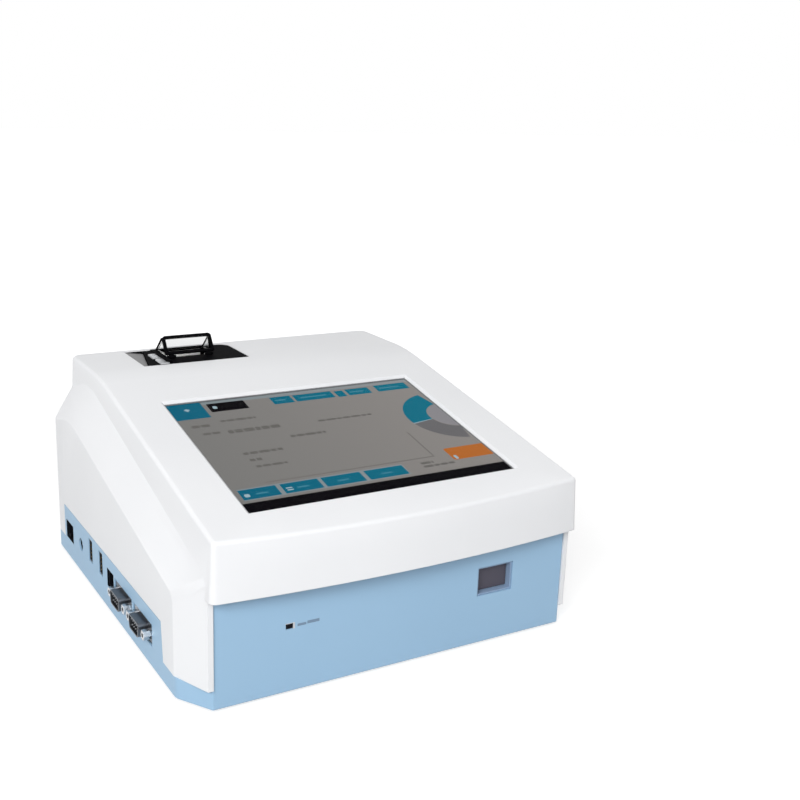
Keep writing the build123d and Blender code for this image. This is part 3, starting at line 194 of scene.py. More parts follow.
@dataclass(frozen=True)
class Moulded(Finish):
    """Injection moulded ABS with a spark-eroded grain: soft sheen, edges rounded by the mould."""

    shade: str = "#DDDEE0"
    # The real grit is about 0.05 mm; it is drawn coarser so that it shows.
    grain_mm: float = 0.7
    grain_depth_mm: float = 0.012
    flow_mm: float = 90.0
    edge_mm: float = 0.5

    def dress(self, look: Look) -> None:
        """Adds the grain, faint flow marks and rounded edges.

        Args:
            look: Material under construction.
        """
        drift = look.every(self.flow_mm) | {"Detail": 2.0, "Roughness": 0.5}
        flow = look.node("ShaderNodeTexNoise", drift).outputs["Fac"]
        spread = {"Value": flow, "From Min": 0.35, "From Max": 0.75, "To Min": 0.0, "To Max": 0.35}
        share = look.node("ShaderNodeMapRange", spread).outputs["Result"]
        grain = look.node("ShaderNodeTexNoise", look.every(self.grain_mm) | {"Detail": 3.0}).outputs["Fac"]
        edge = look.node("ShaderNodeBevel", {"Radius": self.edge_mm * MM}, samples=4).outputs["Normal"]
        relief = {"Height": grain, "Distance": self.grain_depth_mm * MM, "Strength": 0.6, "Normal": edge}
        matt = {"Value": grain, "To Min": self.roughness - 0.05, "To Max": self.roughness + 0.07}
        feed(look.shader, {"Base Color": self.tint(look, share, self.shade),
                           "Roughness": look.node("ShaderNodeMapRange", matt).outputs["Result"],
                           "Normal": look.node("ShaderNodeBump", relief).outputs["Normal"]})


@dataclass(frozen=True)
class Polished(Finish):
    """Plastic from a polished mould: glossy, with a slight waviness and fine wiping scratches."""

    scratch_mm: float = 0.35
    scratch_stretch: Point = (1.0, 0.06, 1.0)
    wave_mm: float = 12.0
    wave_depth_mm: float = 0.03
    edge_mm: float = 0.25
    coat: float = 0.3

    def dress(self, look: Look) -> None:
        """Adds the scratches, the waviness, rounded edges and the gloss.

        Args:
            look: Material under construction.
        """
        stretch = {"Vector": look.place, "Scale": self.scratch_stretch}
        run = look.node("ShaderNodeMapping", stretch).outputs["Vector"]
        scratches = look.every(self.scratch_mm) | {"Vector": run, "Detail": 4.0}
        wipe = look.node("ShaderNodeTexNoise", scratches).outputs["Fac"]
        matt = {"Value": wipe, "To Min": self.roughness * 0.8, "To Max": self.roughness * 1.3}
        wave = look.node("ShaderNodeTexNoise", look.every(self.wave_mm) | {"Detail": 1.0}).outputs["Fac"]
        edge = look.node("ShaderNodeBevel", {"Radius": self.edge_mm * MM}, samples=4).outputs["Normal"]
        relief = {"Height": wave, "Distance": self.wave_depth_mm * MM, "Normal": edge}
        feed(look.shader, {"Roughness": look.node("ShaderNodeMapRange", matt).outputs["Result"],
                           "Normal": look.node("ShaderNodeBump", relief).outputs["Normal"],
                           "Coat Weight": self.coat, "Coat Roughness": 0.08})


@dataclass(frozen=True)
class Clear(Finish):
    """Clear glass or polycarbonate: it passes light, with a faint tint and a little dust."""

    dust_mm: float = 1.5

    def dress(self, look: Look) -> None:
        """Lets light through and adds the dust.

        Args:
            look: Material under construction.
        """
        dust = look.node("ShaderNodeTexNoise", look.every(self.dust_mm) | {"Detail": 3.0}).outputs["Fac"]
        matt = {"Value": dust, "From Min": 0.45, "To Min": self.roughness, "To Max": self.roughness + 0.05}
        feed(look.shader, {"Transmission Weight": 1.0,
                           "Roughness": look.node("ShaderNodeMapRange", matt).outputs["Result"]})


@dataclass(frozen=True)
class Metal(Finish):
    """Bare or plated metal with the marks of its making: drawn along one axis, or turned round it."""

    marks: Point = (0.05, 1.0, 1.0)
    marks_mm: float = 0.25
    marks_depth_mm: float = 0.004
    spangle: float = 0.0
    spangle_mm: float = 4.0
    spangle_shade: str = "#7E8388"

    def dress(self, look: Look) -> None:
        """Adds drawn or turned marks, and a spangle on zinc.

        Args:
            look: Material under construction.
        """
        run = look.node("ShaderNodeMapping", {"Vector": look.place, "Scale": self.marks}).outputs["Vector"]
        pattern = look.every(self.marks_mm) | {"Vector": run, "Detail": 3.0}
        lines = look.node("ShaderNodeTexNoise", pattern).outputs["Fac"]
        matt = {"Value": lines, "To Min": self.roughness - 0.08, "To Max": self.roughness + 0.1}
        relief = {"Height": lines, "Distance": self.marks_depth_mm * MM}
        feed(look.shader, {"Metallic": 1.0, "Roughness": look.node("ShaderNodeMapRange", matt).outputs["Result"],
                           "Normal": look.node("ShaderNodeBump", relief).outputs["Normal"]})
        if self.spangle:
            cells = look.node("ShaderNodeTexVoronoi", look.every(self.spangle_mm)).outputs["Color"]
            share = look.node("ShaderNodeMapRange", {"Value": cells, "To Max": self.spangle}).outputs["Result"]
            feed(look.shader, {"Base Color": self.tint(look, share, self.spangle_shade)})


@dataclass(frozen=True)
class Elastic(Finish):
    """Rubber or foam: matt, with a pitted surface and dust in the pits."""

    pit_mm: float = 0.4
    pit_depth_mm: float = 0.03
    dust: str = "#4A4A4A"

    def dress(self, look: Look) -> None:
        """Adds the pits and their dust.

        Args:
            look: Material under construction.
        """
        pits = look.node("ShaderNodeTexVoronoi", look.every(self.pit_mm)).outputs["Distance"]
        relief = {"Height": pits, "Distance": self.pit_depth_mm * MM}
        dusty = {"Value": pits, "From Max": 0.8, "To Max": 0.3}
        share = look.node("ShaderNodeMapRange", dusty).outputs["Result"]
        feed(look.shader, {"Base Color": self.tint(look, share, self.dust),
                           "Normal": look.node("ShaderNodeBump", relief).outputs["Normal"]})


@dataclass(frozen=True)
class Thermal(Finish):
    """Coated thermal paper: nearly smooth, with faint fibres; on the roll's ends the turns show."""

    shade: str = "#D5D5CF"
    fibre_mm: float = 1.2
    depth_mm: float = 0.02
    turn_mm: float = 0.35
    # Axis of the roll as (y, z) on the case, or None for flat paper.
    roll_axis: tuple[float, float] | None = None

    def dress(self, look: Look) -> None:
        """Adds the fibres, or the turns on a roll.

        Args:
            look: Material under construction.
        """
        if self.roll_axis:
            # A wave that follows the turns of the paper round the roll's axis.
            centre = CASE.at(0, *self.roll_axis)
            shift = {"Vector": look.place, "Location": (0.0, -centre.y, -centre.z)}
            about = {0: look.node("ShaderNodeMapping", shift).outputs["Vector"], 1: (0.0, 1.0, 1.0)}
            flat = look.node("ShaderNodeVectorMath", about, operation="MULTIPLY").outputs[0]
            reach = look.node("ShaderNodeVectorMath", {0: flat}, operation="LENGTH").outputs["Value"]
            angle = {0: reach, 1: math.tau / (self.turn_mm * MM)}
            phase = look.node("ShaderNodeMath", angle, operation="MULTIPLY").outputs[0]
            height = look.node("ShaderNodeMath", {0: phase}, operation="SINE").outputs[0]
            spread = {"From Min": -1.0, "To Max": 0.45}
        else:
            height = look.node("ShaderNodeTexNoise", look.every(self.fibre_mm) | {"Detail": 6.0}).outputs["Fac"]
            spread = {"From Min": 0.4, "To Max": 0.25}
        share = look.node("ShaderNodeMapRange", spread | {"Value": height}).outputs["Result"]
        relief = {"Height": height, "Distance": self.depth_mm * MM, "Strength": 0.4}
        feed(look.shader, {"Base Color": self.tint(look, share, self.shade),
                           "Normal": look.node("ShaderNodeBump", relief).outputs["Normal"]})


@dataclass(frozen=True)
class Circuit(Finish):
    """Glass-fibre circuit board under green lacquer: copper tracks stand out as lighter, raised lines."""

    track_mm: float = 2.2
    track_height_mm: float = 0.05
    tracks: str = "#2F7D4F"

    def dress(self, look: Look) -> None:
        """Adds the tracks and the lacquer.

        Args:
            look: Material under construction.
        """
        grid = look.every(self.track_mm) | {"Randomness": 0.65}
        cells = look.node("ShaderNodeTexVoronoi", grid, distance="MANHATTAN", feature="F1").outputs["Distance"]
        steps = look.node("ShaderNodeMath", {0: cells, 1: 6.0}, operation="MULTIPLY").outputs[0]
        wave = look.node("ShaderNodeMath", {0: steps}, operation="SINE").outputs[0]
        track = look.node("ShaderNodeMapRange", {"Value": wave, "From Min": 0.2, "From Max": 0.5}).outputs["Result"]
        relief = {"Height": track, "Distance": self.track_height_mm * MM}
        feed(look.shader, {"Base Color": self.tint(look, track, self.tracks), "Coat Weight": 0.4,
                           "Normal": look.node("ShaderNodeBump", relief).outputs["Normal"]})


@dataclass(frozen=True)
class Lit(Finish):
    """Field of the display's picture: it glows evenly, with the display's pixel rows and, where set, a painted
    reflection that lightens it towards the display's right edge.
    """

    # Painted reflection: a lighter colour whose share grows from the display's left edge to its right edge.
    painted_reflection: str = "#8F8D8B"
    painted_reflection_share: float = 0.0
    # Pixels are 0.21 mm apart; the rows are drawn wider so that they show.
    pixel_mm: float = 0.6
    # At scale 1 Blender's bands lie tau / 20 apart; with this factor one band takes up two pixels.
    bands: float = 6.3
    half_mm: float = 81.0
    strength: float = 1.0
    gloss: float = 0.0
    unlit: str = "#050505"

    def dress(self, look: Look) -> None:
        """Adds the glow, the painted reflection over it and the pixel rows.

        Args:
            look: Material under construction.
        """
        rows = look.node("ShaderNodeTexWave", look.every(self.pixel_mm * self.bands), bands_direction="Y")
        # Painted reflection: its share rises from nothing at the display's left edge to the full share at its right
        # edge.
        side = CASE.at(-self.half_mm, 0, 0).x
        across = look.node("ShaderNodeSeparateXYZ", {"Vector": look.place}).outputs["X"]
        ramp = {"Value": across, "From Min": side, "From Max": -side, "To Max": self.painted_reflection_share}
        share = look.node("ShaderNodeMapRange", ramp).outputs["Result"]
        dim = {"Value": rows.outputs["Fac"], "To Min": 0.94, "To Max": 1.03}
        toned = {0: self.tint(look, share, self.painted_reflection), "Scale": look.node("ShaderNodeMapRange", dim).outputs["Result"]}
        glow = look.node("ShaderNodeVectorMath", toned, operation="SCALE").outputs["Vector"]
        feed(look.shader, {"Base Color": linear(self.unlit), "Emission Color": glow,
                           "Emission Strength": self.strength})


WHITE_ABS = Moulded("white_abs", "#E3E4E6", 0.42, shade="#DADBDE")
BLUE_ABS = Moulded("pale_blue_abs", "#95B7D2", 0.45, shade="#8CAECA")
GREY_ABS = Moulded("light_grey_abs", "#C6C8CB", 0.4, shade="#B9BBBE", edge_mm=0.2)
BROWN_ABS = Moulded("brown_grey_abs", "#4E4D57", 0.55, gloss=0.15, shade="#5A525C", edge_mm=0.2)
SLATE_ABS = Moulded("slate_blue_abs", "#8CA2BD", 0.5, gloss=0.3, shade="#7F95B0", edge_mm=0.2)
# Painted shade: the white cover's recess flank left of the printer bezel lies in shade, and a grey sheet laid on it
# stands for that shade.
FLANK_PAINTED_SHADE = Moulded("grey_satin_abs", "#858586", 0.5, gloss=0.2, shade="#6F6F71", edge_mm=0.2)
DARK_ABS = Moulded("dark_grey_abs", "#2B2C2E", 0.48, shade="#232426", edge_mm=0.2)
BEZEL_BLACK = Polished("black_satin_abs", "#0B0B0D", 0.5, gloss=0.004, coat=0.0)
BLACK_GLOSS = Polished("black_polished_abs", "#0B0B0D", 0.16)
SOCKET_BLACK = Moulded("black_glass_filled_nylon", "#0D0F14", 0.6, gloss=0.05, shade="#15181D", edge_mm=0.15)
INSERT_GREY = Moulded("grey_socket_insert", "#33353A", 0.6, gloss=0.1, shade="#3F4147", edge_mm=0.1)
ACETAL = Moulded("natural_acetal", "#E4E0D4", 0.35, shade="#D8D3C6", edge_mm=0.1)
SMOKED = Polished("smoked_lens_acrylic", "#04060F", 0.12, gloss=0.1, coat=0.0)
FOOT_RUBBER = Elastic("foot_rubber", "#1B1B1B", 0.8)
PLATEN_RUBBER = Elastic("ground_platen_rubber", "#161616", 0.6, pit_mm=0.25, pit_depth_mm=0.01)
FOAM = Elastic("grey_gasket_foam", "#8E9092", 0.95, gloss=0.1, pit_mm=0.6, pit_depth_mm=0.08)
SHEET = Metal("zinc_plated_sheet", "#B4B7BA", 0.38, spangle=0.35)
SCREW_ZINC = Metal("zinc_plated_screw", "#A9ABAD", 0.32, marks=(1.0, 1.0, 1.0))
STEEL = Metal("ground_steel", "#C2C3C4", 0.22)
MODULE_SHEET = Metal("pressed_tin_plate", "#6F7275", 0.42, spangle=0.2)
ALUMINIUM = Metal("extruded_aluminium", "#B9BBBD", 0.35, marks=(0.04, 1.0, 1.0))
BRASS = Metal("turned_brass", "#C8A45A", 0.26, marks=(1.0, 0.05, 1.0))
GOLD = Metal("gold_flash_contact", "#D8B25A", 0.2)
NICKEL = Metal("nickel_plated_shell", "#6C6F74", 0.34, marks=(1.0, 0.3, 1.0))
PIN_TIN = Metal("tinned_contact_pin", "#85878A", 0.35, marks=(1.0, 1.0, 1.0))
JACK_NICKEL = Metal("bright_nickel_nut", "#C9CACC", 0.18, marks=(1.0, 1.0, 1.0))
MOTOR_BLACK = Metal("black_painted_can", "#0C0C0D", 0.45)
GLASS = Clear("anti_glare_touch_glass", "#FAFBFB", 0.0, ior=1.04)
PANE = Clear("clear_polycarbonate", "#DCDDDD", 0.03, ior=1.12)
LENS = Clear("coated_lens_glass", "#E8F0F6", 0.0, ior=1.5)
PAPER = Thermal("thermal_paper", "#F4F4F0", 0.7)
ROLL_PAPER = Thermal("rolled_thermal_paper", "#F1F1EC", 0.7, roll_axis=(214.0, 94.0))
BOARD = Circuit("green_circuit_board", "#12552F", 0.35)
CHIP = Moulded("black_epoxy_chip", "#131313", 0.6, shade="#1B1B1B", edge_mm=0.1)
# Pad printing lies on the plastic as a thin matt film.
BLUE_PRINT = Moulded("blue_grey_print", "#6C8299", 0.5, shade="#7A90A6", edge_mm=0.05)
WHITE_PRINT = Moulded("white_print", "#D9DBDD", 0.5, shade="#CFD1D3", edge_mm=0.05)

NODES_IN: dict[Finish, str] = {
    WHITE_ABS: "top_cover",
    BLUE_ABS: "base_tray rear_panel",
    GREY_ABS: "feed_key lid_catch",
    BROWN_ABS: "card_tray",
    SLATE_ABS: "slot_frame",
    DARK_ABS: "roll_core optical_head home_sensor power_rocker",
    BEZEL_BLACK: "printer_bezel lid_frame",
    BLACK_GLOSS: "power_switch",
    SOCKET_BLACK: "network_port power_jack device_port",
    ACETAL: "platen_gear motor_pinion",
    SMOKED: "indicator_lens",
    FOOT_RUBBER: "rubber_feet",
    PLATEN_RUBBER: "platen_roller",
    FOAM: "glass_gasket",
    SHEET: "lcd_bracket feed_motor stage_frame optics_bridge",
    SCREW_ZINC: "case_screws panel_screws bracket_screws board_screws",
    STEEL: "lid_pin platen_shaft roll_spindle guide_rods lead_screw",
    MODULE_SHEET: "lcd_panel",
    ALUMINIUM: "print_head",
    BRASS: "lcd_spacers guide_bushes lead_nut screw_bearing led_module board_standoffs",
    NICKEL: "usb_port_rear usb_port_front serial_port_rear serial_port_front",
    JACK_NICKEL: "jack_nuts",
    MOTOR_BLACK: "stage_motor speaker",
    GLASS: "touch_glass",
    PANE: "lid_window",
    LENS: "objective_lens",
    PAPER: "paper_tape",
    ROLL_PAPER: "paper_roll",
    BOARD: "lcd_board detector_board main_board power_board",
}
NODE_FINISH = {name: finish for finish, names in NODES_IN.items() for name in names.split()}


@cache
def material_of(finish: Finish) -> Material:
    """Material of a finish, made at its first use."""
    return finish.build()


# Meshes


class Shape:
    """Mesh under construction, in millimetres of a local frame."""

    def __init__(self) -> None:
        """Starts with an empty mesh."""
        self.mesh = bmesh.new()

    def prism(self, outline: Sequence[tuple[float, float]], low: float, high: float) -> "Shape":
        """Adds an upright prism over an outline of (x, y), counter-clockwise."""
        return self.slab([(x, y, low) for x, y in outline], [(x, y, high) for x, y in outline])

    def slab(self, base: Sequence[Point], top: Sequence[Point]) -> "Shape":
        """Adds a solid between two outlines with the same number of corners.

        Args:
            base: Corners of the lower face, counter-clockwise from above.
            top: Corners of the upper face.

        Returns:
            The shape itself.
        """
        lower, upper = ([self.mesh.verts.new(corner) for corner in ring] for ring in (base, top))
        self.mesh.faces.new(lower[::-1])
        self.mesh.faces.new(upper)
        self.skirt(lower, upper)
        return self

    def skirt(self, lower: Sequence[bmesh.types.BMVert], upper: Sequence[bmesh.types.BMVert]) -> None:
        """Joins two rings of as many corners by faces."""
        for i, j in zip(range(len(lower)), [*range(1, len(lower)), 0]):
            self.mesh.faces.new((lower[i], lower[j], upper[j], upper[i]))

    def block(self, low: Point, high: Point) -> "Shape":
        """Adds a box between its lowest and its highest corner."""
        outline = [(low[0], low[1]), (high[0], low[1]), (high[0], high[1]), (low[0], high[1])]
        return self.prism(outline, low[2], high[2])

    def turned(self, profile: Sequence[tuple[float, float]], sides: int) -> "Shape":
        """Adds a turned body round the local Z axis.

        Args:
            profile: Points as (radius, height), from the bottom up; the ends may lie on the axis.
            sides: Number of sides.

        Returns:
            The shape itself.
        """
        rings = []
        for radius, height in profile:
            if radius == 0:
                rings.append([self.mesh.verts.new((0, 0, height))])
                continue
            turn = [i * math.tau / sides for i in range(sides)]
            rings.append([self.mesh.verts.new((radius * math.cos(a), radius * math.sin(a), height)) for a in turn])
        for lower, upper in zip(rings, rings[1:]):
            for i in range(sides):
                j = (i + 1) % sides
                corners = [lower[i % len(lower)], lower[j % len(lower)], upper[j % len(upper)], upper[i % len(upper)]]
                self.mesh.faces.new(list(dict.fromkeys(corners)))
        return self

    def soften(self, width: float, steps: int = 2) -> "Shape":
        """Rounds all crisp edges.

        Args:
            width: Width of the rounding.
            steps: Number of segments.

        Returns:
            The shape itself.
        """
        self.mesh.normal_update()
        edges = [e for e in self.mesh.edges if e.is_manifold and e.calc_face_angle(0) > math.radians(35)]
        bmesh.ops.bevel(self.mesh, geom=edges, offset=width, segments=steps, affect="EDGES", clamp_overlap=True)
        return self

    def finish(self, name: str, place: Place) -> Mesh:
        """Places the mesh in the scene.

        Args:
            name: Name of the mesh.
            place: Turns a local point to metres in the scene.

        Returns:
            The mesh.
        """
        for vertex in self.mesh.verts:
            vertex.co = place(*vertex.co)
        bmesh.ops.recalc_face_normals(self.mesh, faces=self.mesh.faces)
        data = bpy.data.meshes.new(name)
        self.mesh.to_mesh(data)
        self.mesh.free()
        return data


def rounded(width: float, height: float, radius: float, steps: int = 5) -> list[tuple[float, float]]:
    """Outline of a rectangle with round corners, centred on the origin.

    Args:
        width: Size across.
        height: Size up.
        radius: Corner radius.
        steps: Segments per corner.

    Returns:
        Corners, counter-clockwise.
    """
    outline = []
    for number, (sx, sy) in enumerate(((1, 1), (-1, 1), (-1, -1), (1, -1))):
        cx = sx * (width / 2 - radius)
        cy = sy * (height / 2 - radius)
        for step in range(steps + 1):
            angle = math.radians(90 * number + 90 * step / steps)
            outline.append((cx + radius * math.cos(angle), cy + radius * math.sin(angle)))
    return outline


def put(name: str, data: ID) -> Object:
    """Puts an object in the scene.

    Args:
        name: Name of the object.
        data: Its mesh, light or camera.

    Returns:
        The object.
    """
    thing = bpy.data.objects.new(name, data)
    bpy.context.scene.collection.objects.link(thing)
    return thing


def keep(name: str, data: Mesh, finish: Finish, body: str) -> Object:
    """Turns a mesh to a piece of the model with crisp faces.

    Args:
        name: Name of the piece.
        data: Its mesh, placed in the scene.
        finish: Its finish.
        body: CAD body that it rides on.

    Returns:
        The piece.
    """
    piece = put(name, data)
    if not data.materials:
        data.materials.append(material_of(finish))
    for polygon in data.polygons:
        polygon.use_smooth = False
    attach(piece, body)
    LOG.info("piece %s on %s: %d faces", name, body, len(data.polygons))
    return piece


def fixed(name: str, shape: Shape, finish: Finish, place: Place = CASE.at) -> None:
    """Keeps a shape as a piece of the case; place turns its points to metres in the scene."""
    keep(name, shape.finish(name, place), finish, "case")


# Geometry Nodes


class Socket(Enum):
    """Kinds of inputs of the node trees."""

    NUMBER = "NodeSocketFloat"
    COUNT = "NodeSocketInt"
    VECTOR = "NodeSocketVector"
    OBJECT = "NodeSocketObject"
    MATERIAL = "NodeSocketMaterial"
    GEOMETRY = "NodeSocketGeometry"


@dataclass
class Grower:
    """Geometry Nodes tree with named inputs, and the run that turns it to a plain mesh."""

    name: str
    inputs: dict[str, Socket]
    tree: NodeTree = field(init=False)

    def __post_init__(self) -> None:
        """Makes the tree, its inputs and its output."""
        self.tree = bpy.data.node_groups.new(self.name, "GeometryNodeTree")
        self.tree.interface.new_socket("Geometry", in_out="OUTPUT", socket_type=Socket.GEOMETRY.value)
        for label, kind in self.inputs.items():
            self.tree.interface.new_socket(label, in_out="INPUT", socket_type=kind.value)
        self.entry = add(self.tree, "NodeGroupInput")

    def get(self, label: str) -> NodeSocket:
        """Socket of a named input."""
        return self.entry.outputs[label]

    def node(self, kind: str, links: dict[Any, Any] | None = None, **settings: Any) -> Node:
        """Adds a node to the tree."""
        return add(self.tree, kind, links, **settings)

    def close(self, geometry: NodeSocket, material: bool = True) -> None:
        """Ends the tree.

        Args:
            geometry: Last geometry.
            material: True where the tree realises instances and sets the material.
        """
        if material:
            solid = self.node("GeometryNodeRealizeInstances", {"Geometry": geometry}).outputs[0]
            dressed = {"Geometry": solid, "Material": self.get("Material")}
            geometry = self.node("GeometryNodeSetMaterial", dressed).outputs[0]
        self.node("NodeGroupOutput", {"Geometry": geometry})

    def run(self, name: str, values: dict[str, Any]) -> Mesh:
        """Grows one mesh.

        Args:
            name: Name of the mesh.
            values: Value of each named input.

        Returns:
            Plain mesh with the material set.
        """
        holder = put(name, bpy.data.meshes.new(name))
        modifier = holder.modifiers.new(self.name, "NODES")
        modifier.node_group = self.tree
        for item in self.tree.interface.items_tree:
            if item.in_out == "INPUT" and item.name in values:
                modifier[item.identifier] = values[item.name]
        bpy.context.view_layer.update()
        graph = bpy.context.evaluated_depsgraph_get()
        data = bpy.data.meshes.new_from_object(holder.evaluated_get(graph), depsgraph=graph)
        data.name = name
        bpy.data.objects.remove(holder)
        return data


def row_grower() -> Grower:
    """Tree that repeats a unit along a line: contacts, pins, teeth and chips.

    Returns:
        The tree.
    """
    kinds = {"Unit": Socket.OBJECT, "Count": Socket.COUNT, "Start": Socket.VECTOR, "Step": Socket.VECTOR}
    grower = Grower("row_of_units", kinds | {"Material": Socket.MATERIAL})
    line = {"Count": grower.get("Count"), "Start Location": grower.get("Start"), "Offset": grower.get("Step")}
    points = grower.node("GeometryNodeMeshLine", line).outputs["Mesh"]
    unit = grower.node("GeometryNodeObjectInfo", {"Object": grower.get("Unit")}).outputs["Geometry"]
    grower.close(grower.node("GeometryNodeInstanceOnPoints", {"Points": points, "Instance": unit}).outputs["Instances"])
    return grower


def thread_grower() -> Grower:
    """Tree that winds a trapezoid thread round a core, both along Z.

    Returns:
        The tree.
    """
    kinds = {label: Socket.NUMBER for label in ("Radius", "Depth", "Pitch", "Turns", "Length")}
    grower = Grower("lead_screw_thread", kinds | {"Material": Socket.MATERIAL})
    radius, depth, pitch, turns, length = (grower.get(label) for label in kinds)
    root, rise, half_depth, width, lift = (
        grower.node("ShaderNodeMath", {0: first, 1: second}, operation=action).outputs[0]
        for first, action, second in ((radius, "SUBTRACT", depth), (turns, "MULTIPLY", pitch), (depth, "MULTIPLY", 0.5),
                                      (pitch, "MULTIPLY", 0.5), (length, "MULTIPLY", 0.5)))
    middle = grower.node("ShaderNodeMath", {0: radius, 1: half_depth}, operation="SUBTRACT").outputs[0]
    coil = {"Resolution": 14, "Rotations": turns, "Start Radius": middle, "End Radius": middle, "Height": rise}
    spiral = grower.node("GeometryNodeCurveSpiral", coil).outputs["Curve"]
    path = grower.node("GeometryNodeSetCurveNormal", {"Curve": spiral}, mode="Z_UP").outputs["Curve"]
    section = {"Width": depth, "Height": width}
    ridge = grower.node("GeometryNodeCurvePrimitiveQuadrilateral", section).outputs["Curve"]
    wound = {"Curve": path, "Profile Curve": ridge, "Fill Caps": True}
    wire = grower.node("GeometryNodeCurveToMesh", wound).outputs["Mesh"]
    inset = grower.node("ShaderNodeCombineXYZ", {"Z": width}).outputs["Vector"]
    thread = grower.node("GeometryNodeTransform", {"Geometry": wire, "Translation": inset}).outputs["Geometry"]
    core = {"Vertices": 20, "Radius": root, "Depth": length}
    rod = grower.node("GeometryNodeMeshCylinder", core).outputs["Mesh"]
    up = grower.node("ShaderNodeCombineXYZ", {"Z": lift}).outputs["Vector"]
    raised = grower.node("GeometryNodeTransform", {"Geometry": rod, "Translation": up}).outputs["Geometry"]
    joined = grower.node("GeometryNodeJoinGeometry")
    grower.tree.links.new(thread, joined.inputs[0])
    grower.tree.links.new(raised, joined.inputs[0])
    grower.close(joined.outputs[0])
    return grower


def component_grower() -> Grower:
    """Tree that strews small soldered parts over a board, some places left empty.

    Returns:
        The tree.
    """
    kinds = {"Unit": Socket.OBJECT, "Size": Socket.VECTOR, "Columns": Socket.COUNT, "Rows": Socket.COUNT}
    kinds |= {"Centre": Socket.VECTOR, "Fill": Socket.NUMBER, "Material": Socket.MATERIAL}
    grower = Grower("board_components", kinds)
    size = grower.node("ShaderNodeSeparateXYZ", {"Vector": grower.get("Size")})
    cells = {"Size X": size.outputs["X"], "Size Y": size.outputs["Y"]}
    cells |= {"Vertices X": grower.get("Columns"), "Vertices Y": grower.get("Rows")}
    grid = grower.node("GeometryNodeMeshGrid", cells).outputs["Mesh"]
    moved = {"Geometry": grid, "Translation": grower.get("Centre")}
    board = grower.node("GeometryNodeTransform", moved).outputs["Geometry"]
    chance = {"Probability": grower.get("Fill"), "Seed": 7}
    used = grower.node("FunctionNodeRandomValue", chance, data_type="BOOLEAN").outputs[3]
    growth = {0: (0.7, 0.7, 0.7), 1: (1.5, 1.3, 1.2), "Seed": 11}
    scale = grower.node("FunctionNodeRandomValue", growth, data_type="FLOAT_VECTOR").outputs[0]
    unit = grower.node("GeometryNodeObjectInfo", {"Object": grower.get("Unit")}).outputs["Geometry"]
    spread = {"Points": board, "Selection": used, "Instance": unit, "Scale": scale}
    grower.close(grower.node("GeometryNodeInstanceOnPoints", spread).outputs["Instances"])
    return grower


def smoothing_tree() -> NodeTree:
    """Tree that shades a CAD surface smooth and keeps edges sharper than an angle crisp.

    Returns:
        The node tree.
    """
    grower = Grower("smooth_by_angle", {"Surface": Socket.GEOMETRY, "Angle": Socket.NUMBER})
    angle = grower.node("GeometryNodeInputMeshEdgeAngle").outputs["Unsigned Angle"]
    sharp = grower.node("FunctionNodeCompare", {0: angle, 1: grower.get("Angle")}, operation="GREATER_THAN").outputs[0]
    whole = {"Geometry": grower.get("Surface"), "Shade Smooth": True}
    smooth = grower.node("GeometryNodeSetShadeSmooth", whole, domain="FACE").outputs[0]
    crisp = {"Geometry": smooth, "Selection": sharp, "Shade Smooth": False}
    grower.close(grower.node("GeometryNodeSetShadeSmooth", crisp, domain="EDGE").outputs[0], material=False)
    return grower.tree


ROW = row_grower()
THREAD = thread_grower()
COMPONENTS = component_grower()
SMOOTHING = smoothing_tree()


def grow(name: str, grower: Grower, unit: Mesh, values: dict[str, Any], finish: Finish) -> None:
    """Makes a piece of the case from many copies of a unit.

    Args:
        name: Name of the piece.
        grower: Tree that places the copies.
        unit: Mesh of one unit, about the origin, in metres.
        values: Value of each other input of the tree.
        finish: Finish of all units.
    """
    holder = put("unit", unit)
    data = grower.run(name, values | {"Unit": holder, "Material": material_of(finish)})
    bpy.data.objects.remove(holder)
    keep(name, data, finish, "case")


def scaled(x: float, y: float, z: float) -> Vector:
    """Local point in millimetres, in metres."""
    return Vector((x, y, z)) * MM


def toward_left(x: float, y: float, z: float) -> Vector:
    """Turns a local point so that its Z points to the left side, in metres."""
    return Vector((-z, -x, y)) * MM


# Sub-assemblies


@dataclass
class CadDress:
    """Gives each CAD node its finish and its smooth shading."""

    sharp_deg: float = 19.0
    weld_mm: float = 0.01

    def build(self) -> None:
        """Dresses all nodes."""
        for name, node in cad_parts.items():
            self.dress(name, node)

    def dress(self, name: str, node: Object) -> None:
        """Dresses one node.

        Args:
            name: Name of the node.
            node: Its object.
        """
        node.data.materials.clear()
        node.data.materials.append(material_of(NODE_FINISH[name]))
        weld = node.modifiers.new("weld", "WELD")
        weld.merge_threshold = self.weld_mm * MM
        shading = node.modifiers.new("shading", "NODES")
        shading.node_group = SMOOTHING
        for item in SMOOTHING.interface.items_tree:
            if item.in_out == "INPUT" and item.name == "Angle":
                shading[item.identifier] = math.radians(self.sharp_deg)
        LOG.info("dressed %s in %s", name, NODE_FINISH[name].name)


@dataclass(frozen=True)
class Tile:
    """Field of the display's picture: places in mm on the display."""

    left: float
    right: float
    low: float
    high: float
    radius: float = 0.3


@dataclass(frozen=True)
class DisplayColours:
    """Colours of the picture: each field glows evenly behind the glass; the ground, strip and teal fields also carry a
    painted reflection that lightens them towards the right.
    """

    ground: Lit = Lit("display_grey", "#7B7A78", painted_reflection="#8B8784", painted_reflection_share=1.0)
    strip: Lit = Lit("display_strip", "#7F8B8F", painted_reflection="#8F9294", painted_reflection_share=1.0)
    teal: Lit = Lit("display_teal", "#0F617B", painted_reflection="#126E84", painted_reflection_share=1.0)
    black: Lit = Lit("display_black", "#050408")
    orange: Lit = Lit("display_orange", "#B3682F")
    bar: Lit = Lit("display_lettering_bars", "#696764")
    line: Lit = Lit("display_panel_line", "#75726F")
    pale: Lit = Lit("display_pale", "#9DB4BD")
    key_bar: Lit = Lit("display_key_bars", "#3F8094")
    gauge_middle: Lit = Lit("display_gauge_middle", "#8A888C")
    gauge_ring: Lit = Lit("display_ring", "#6A696B")


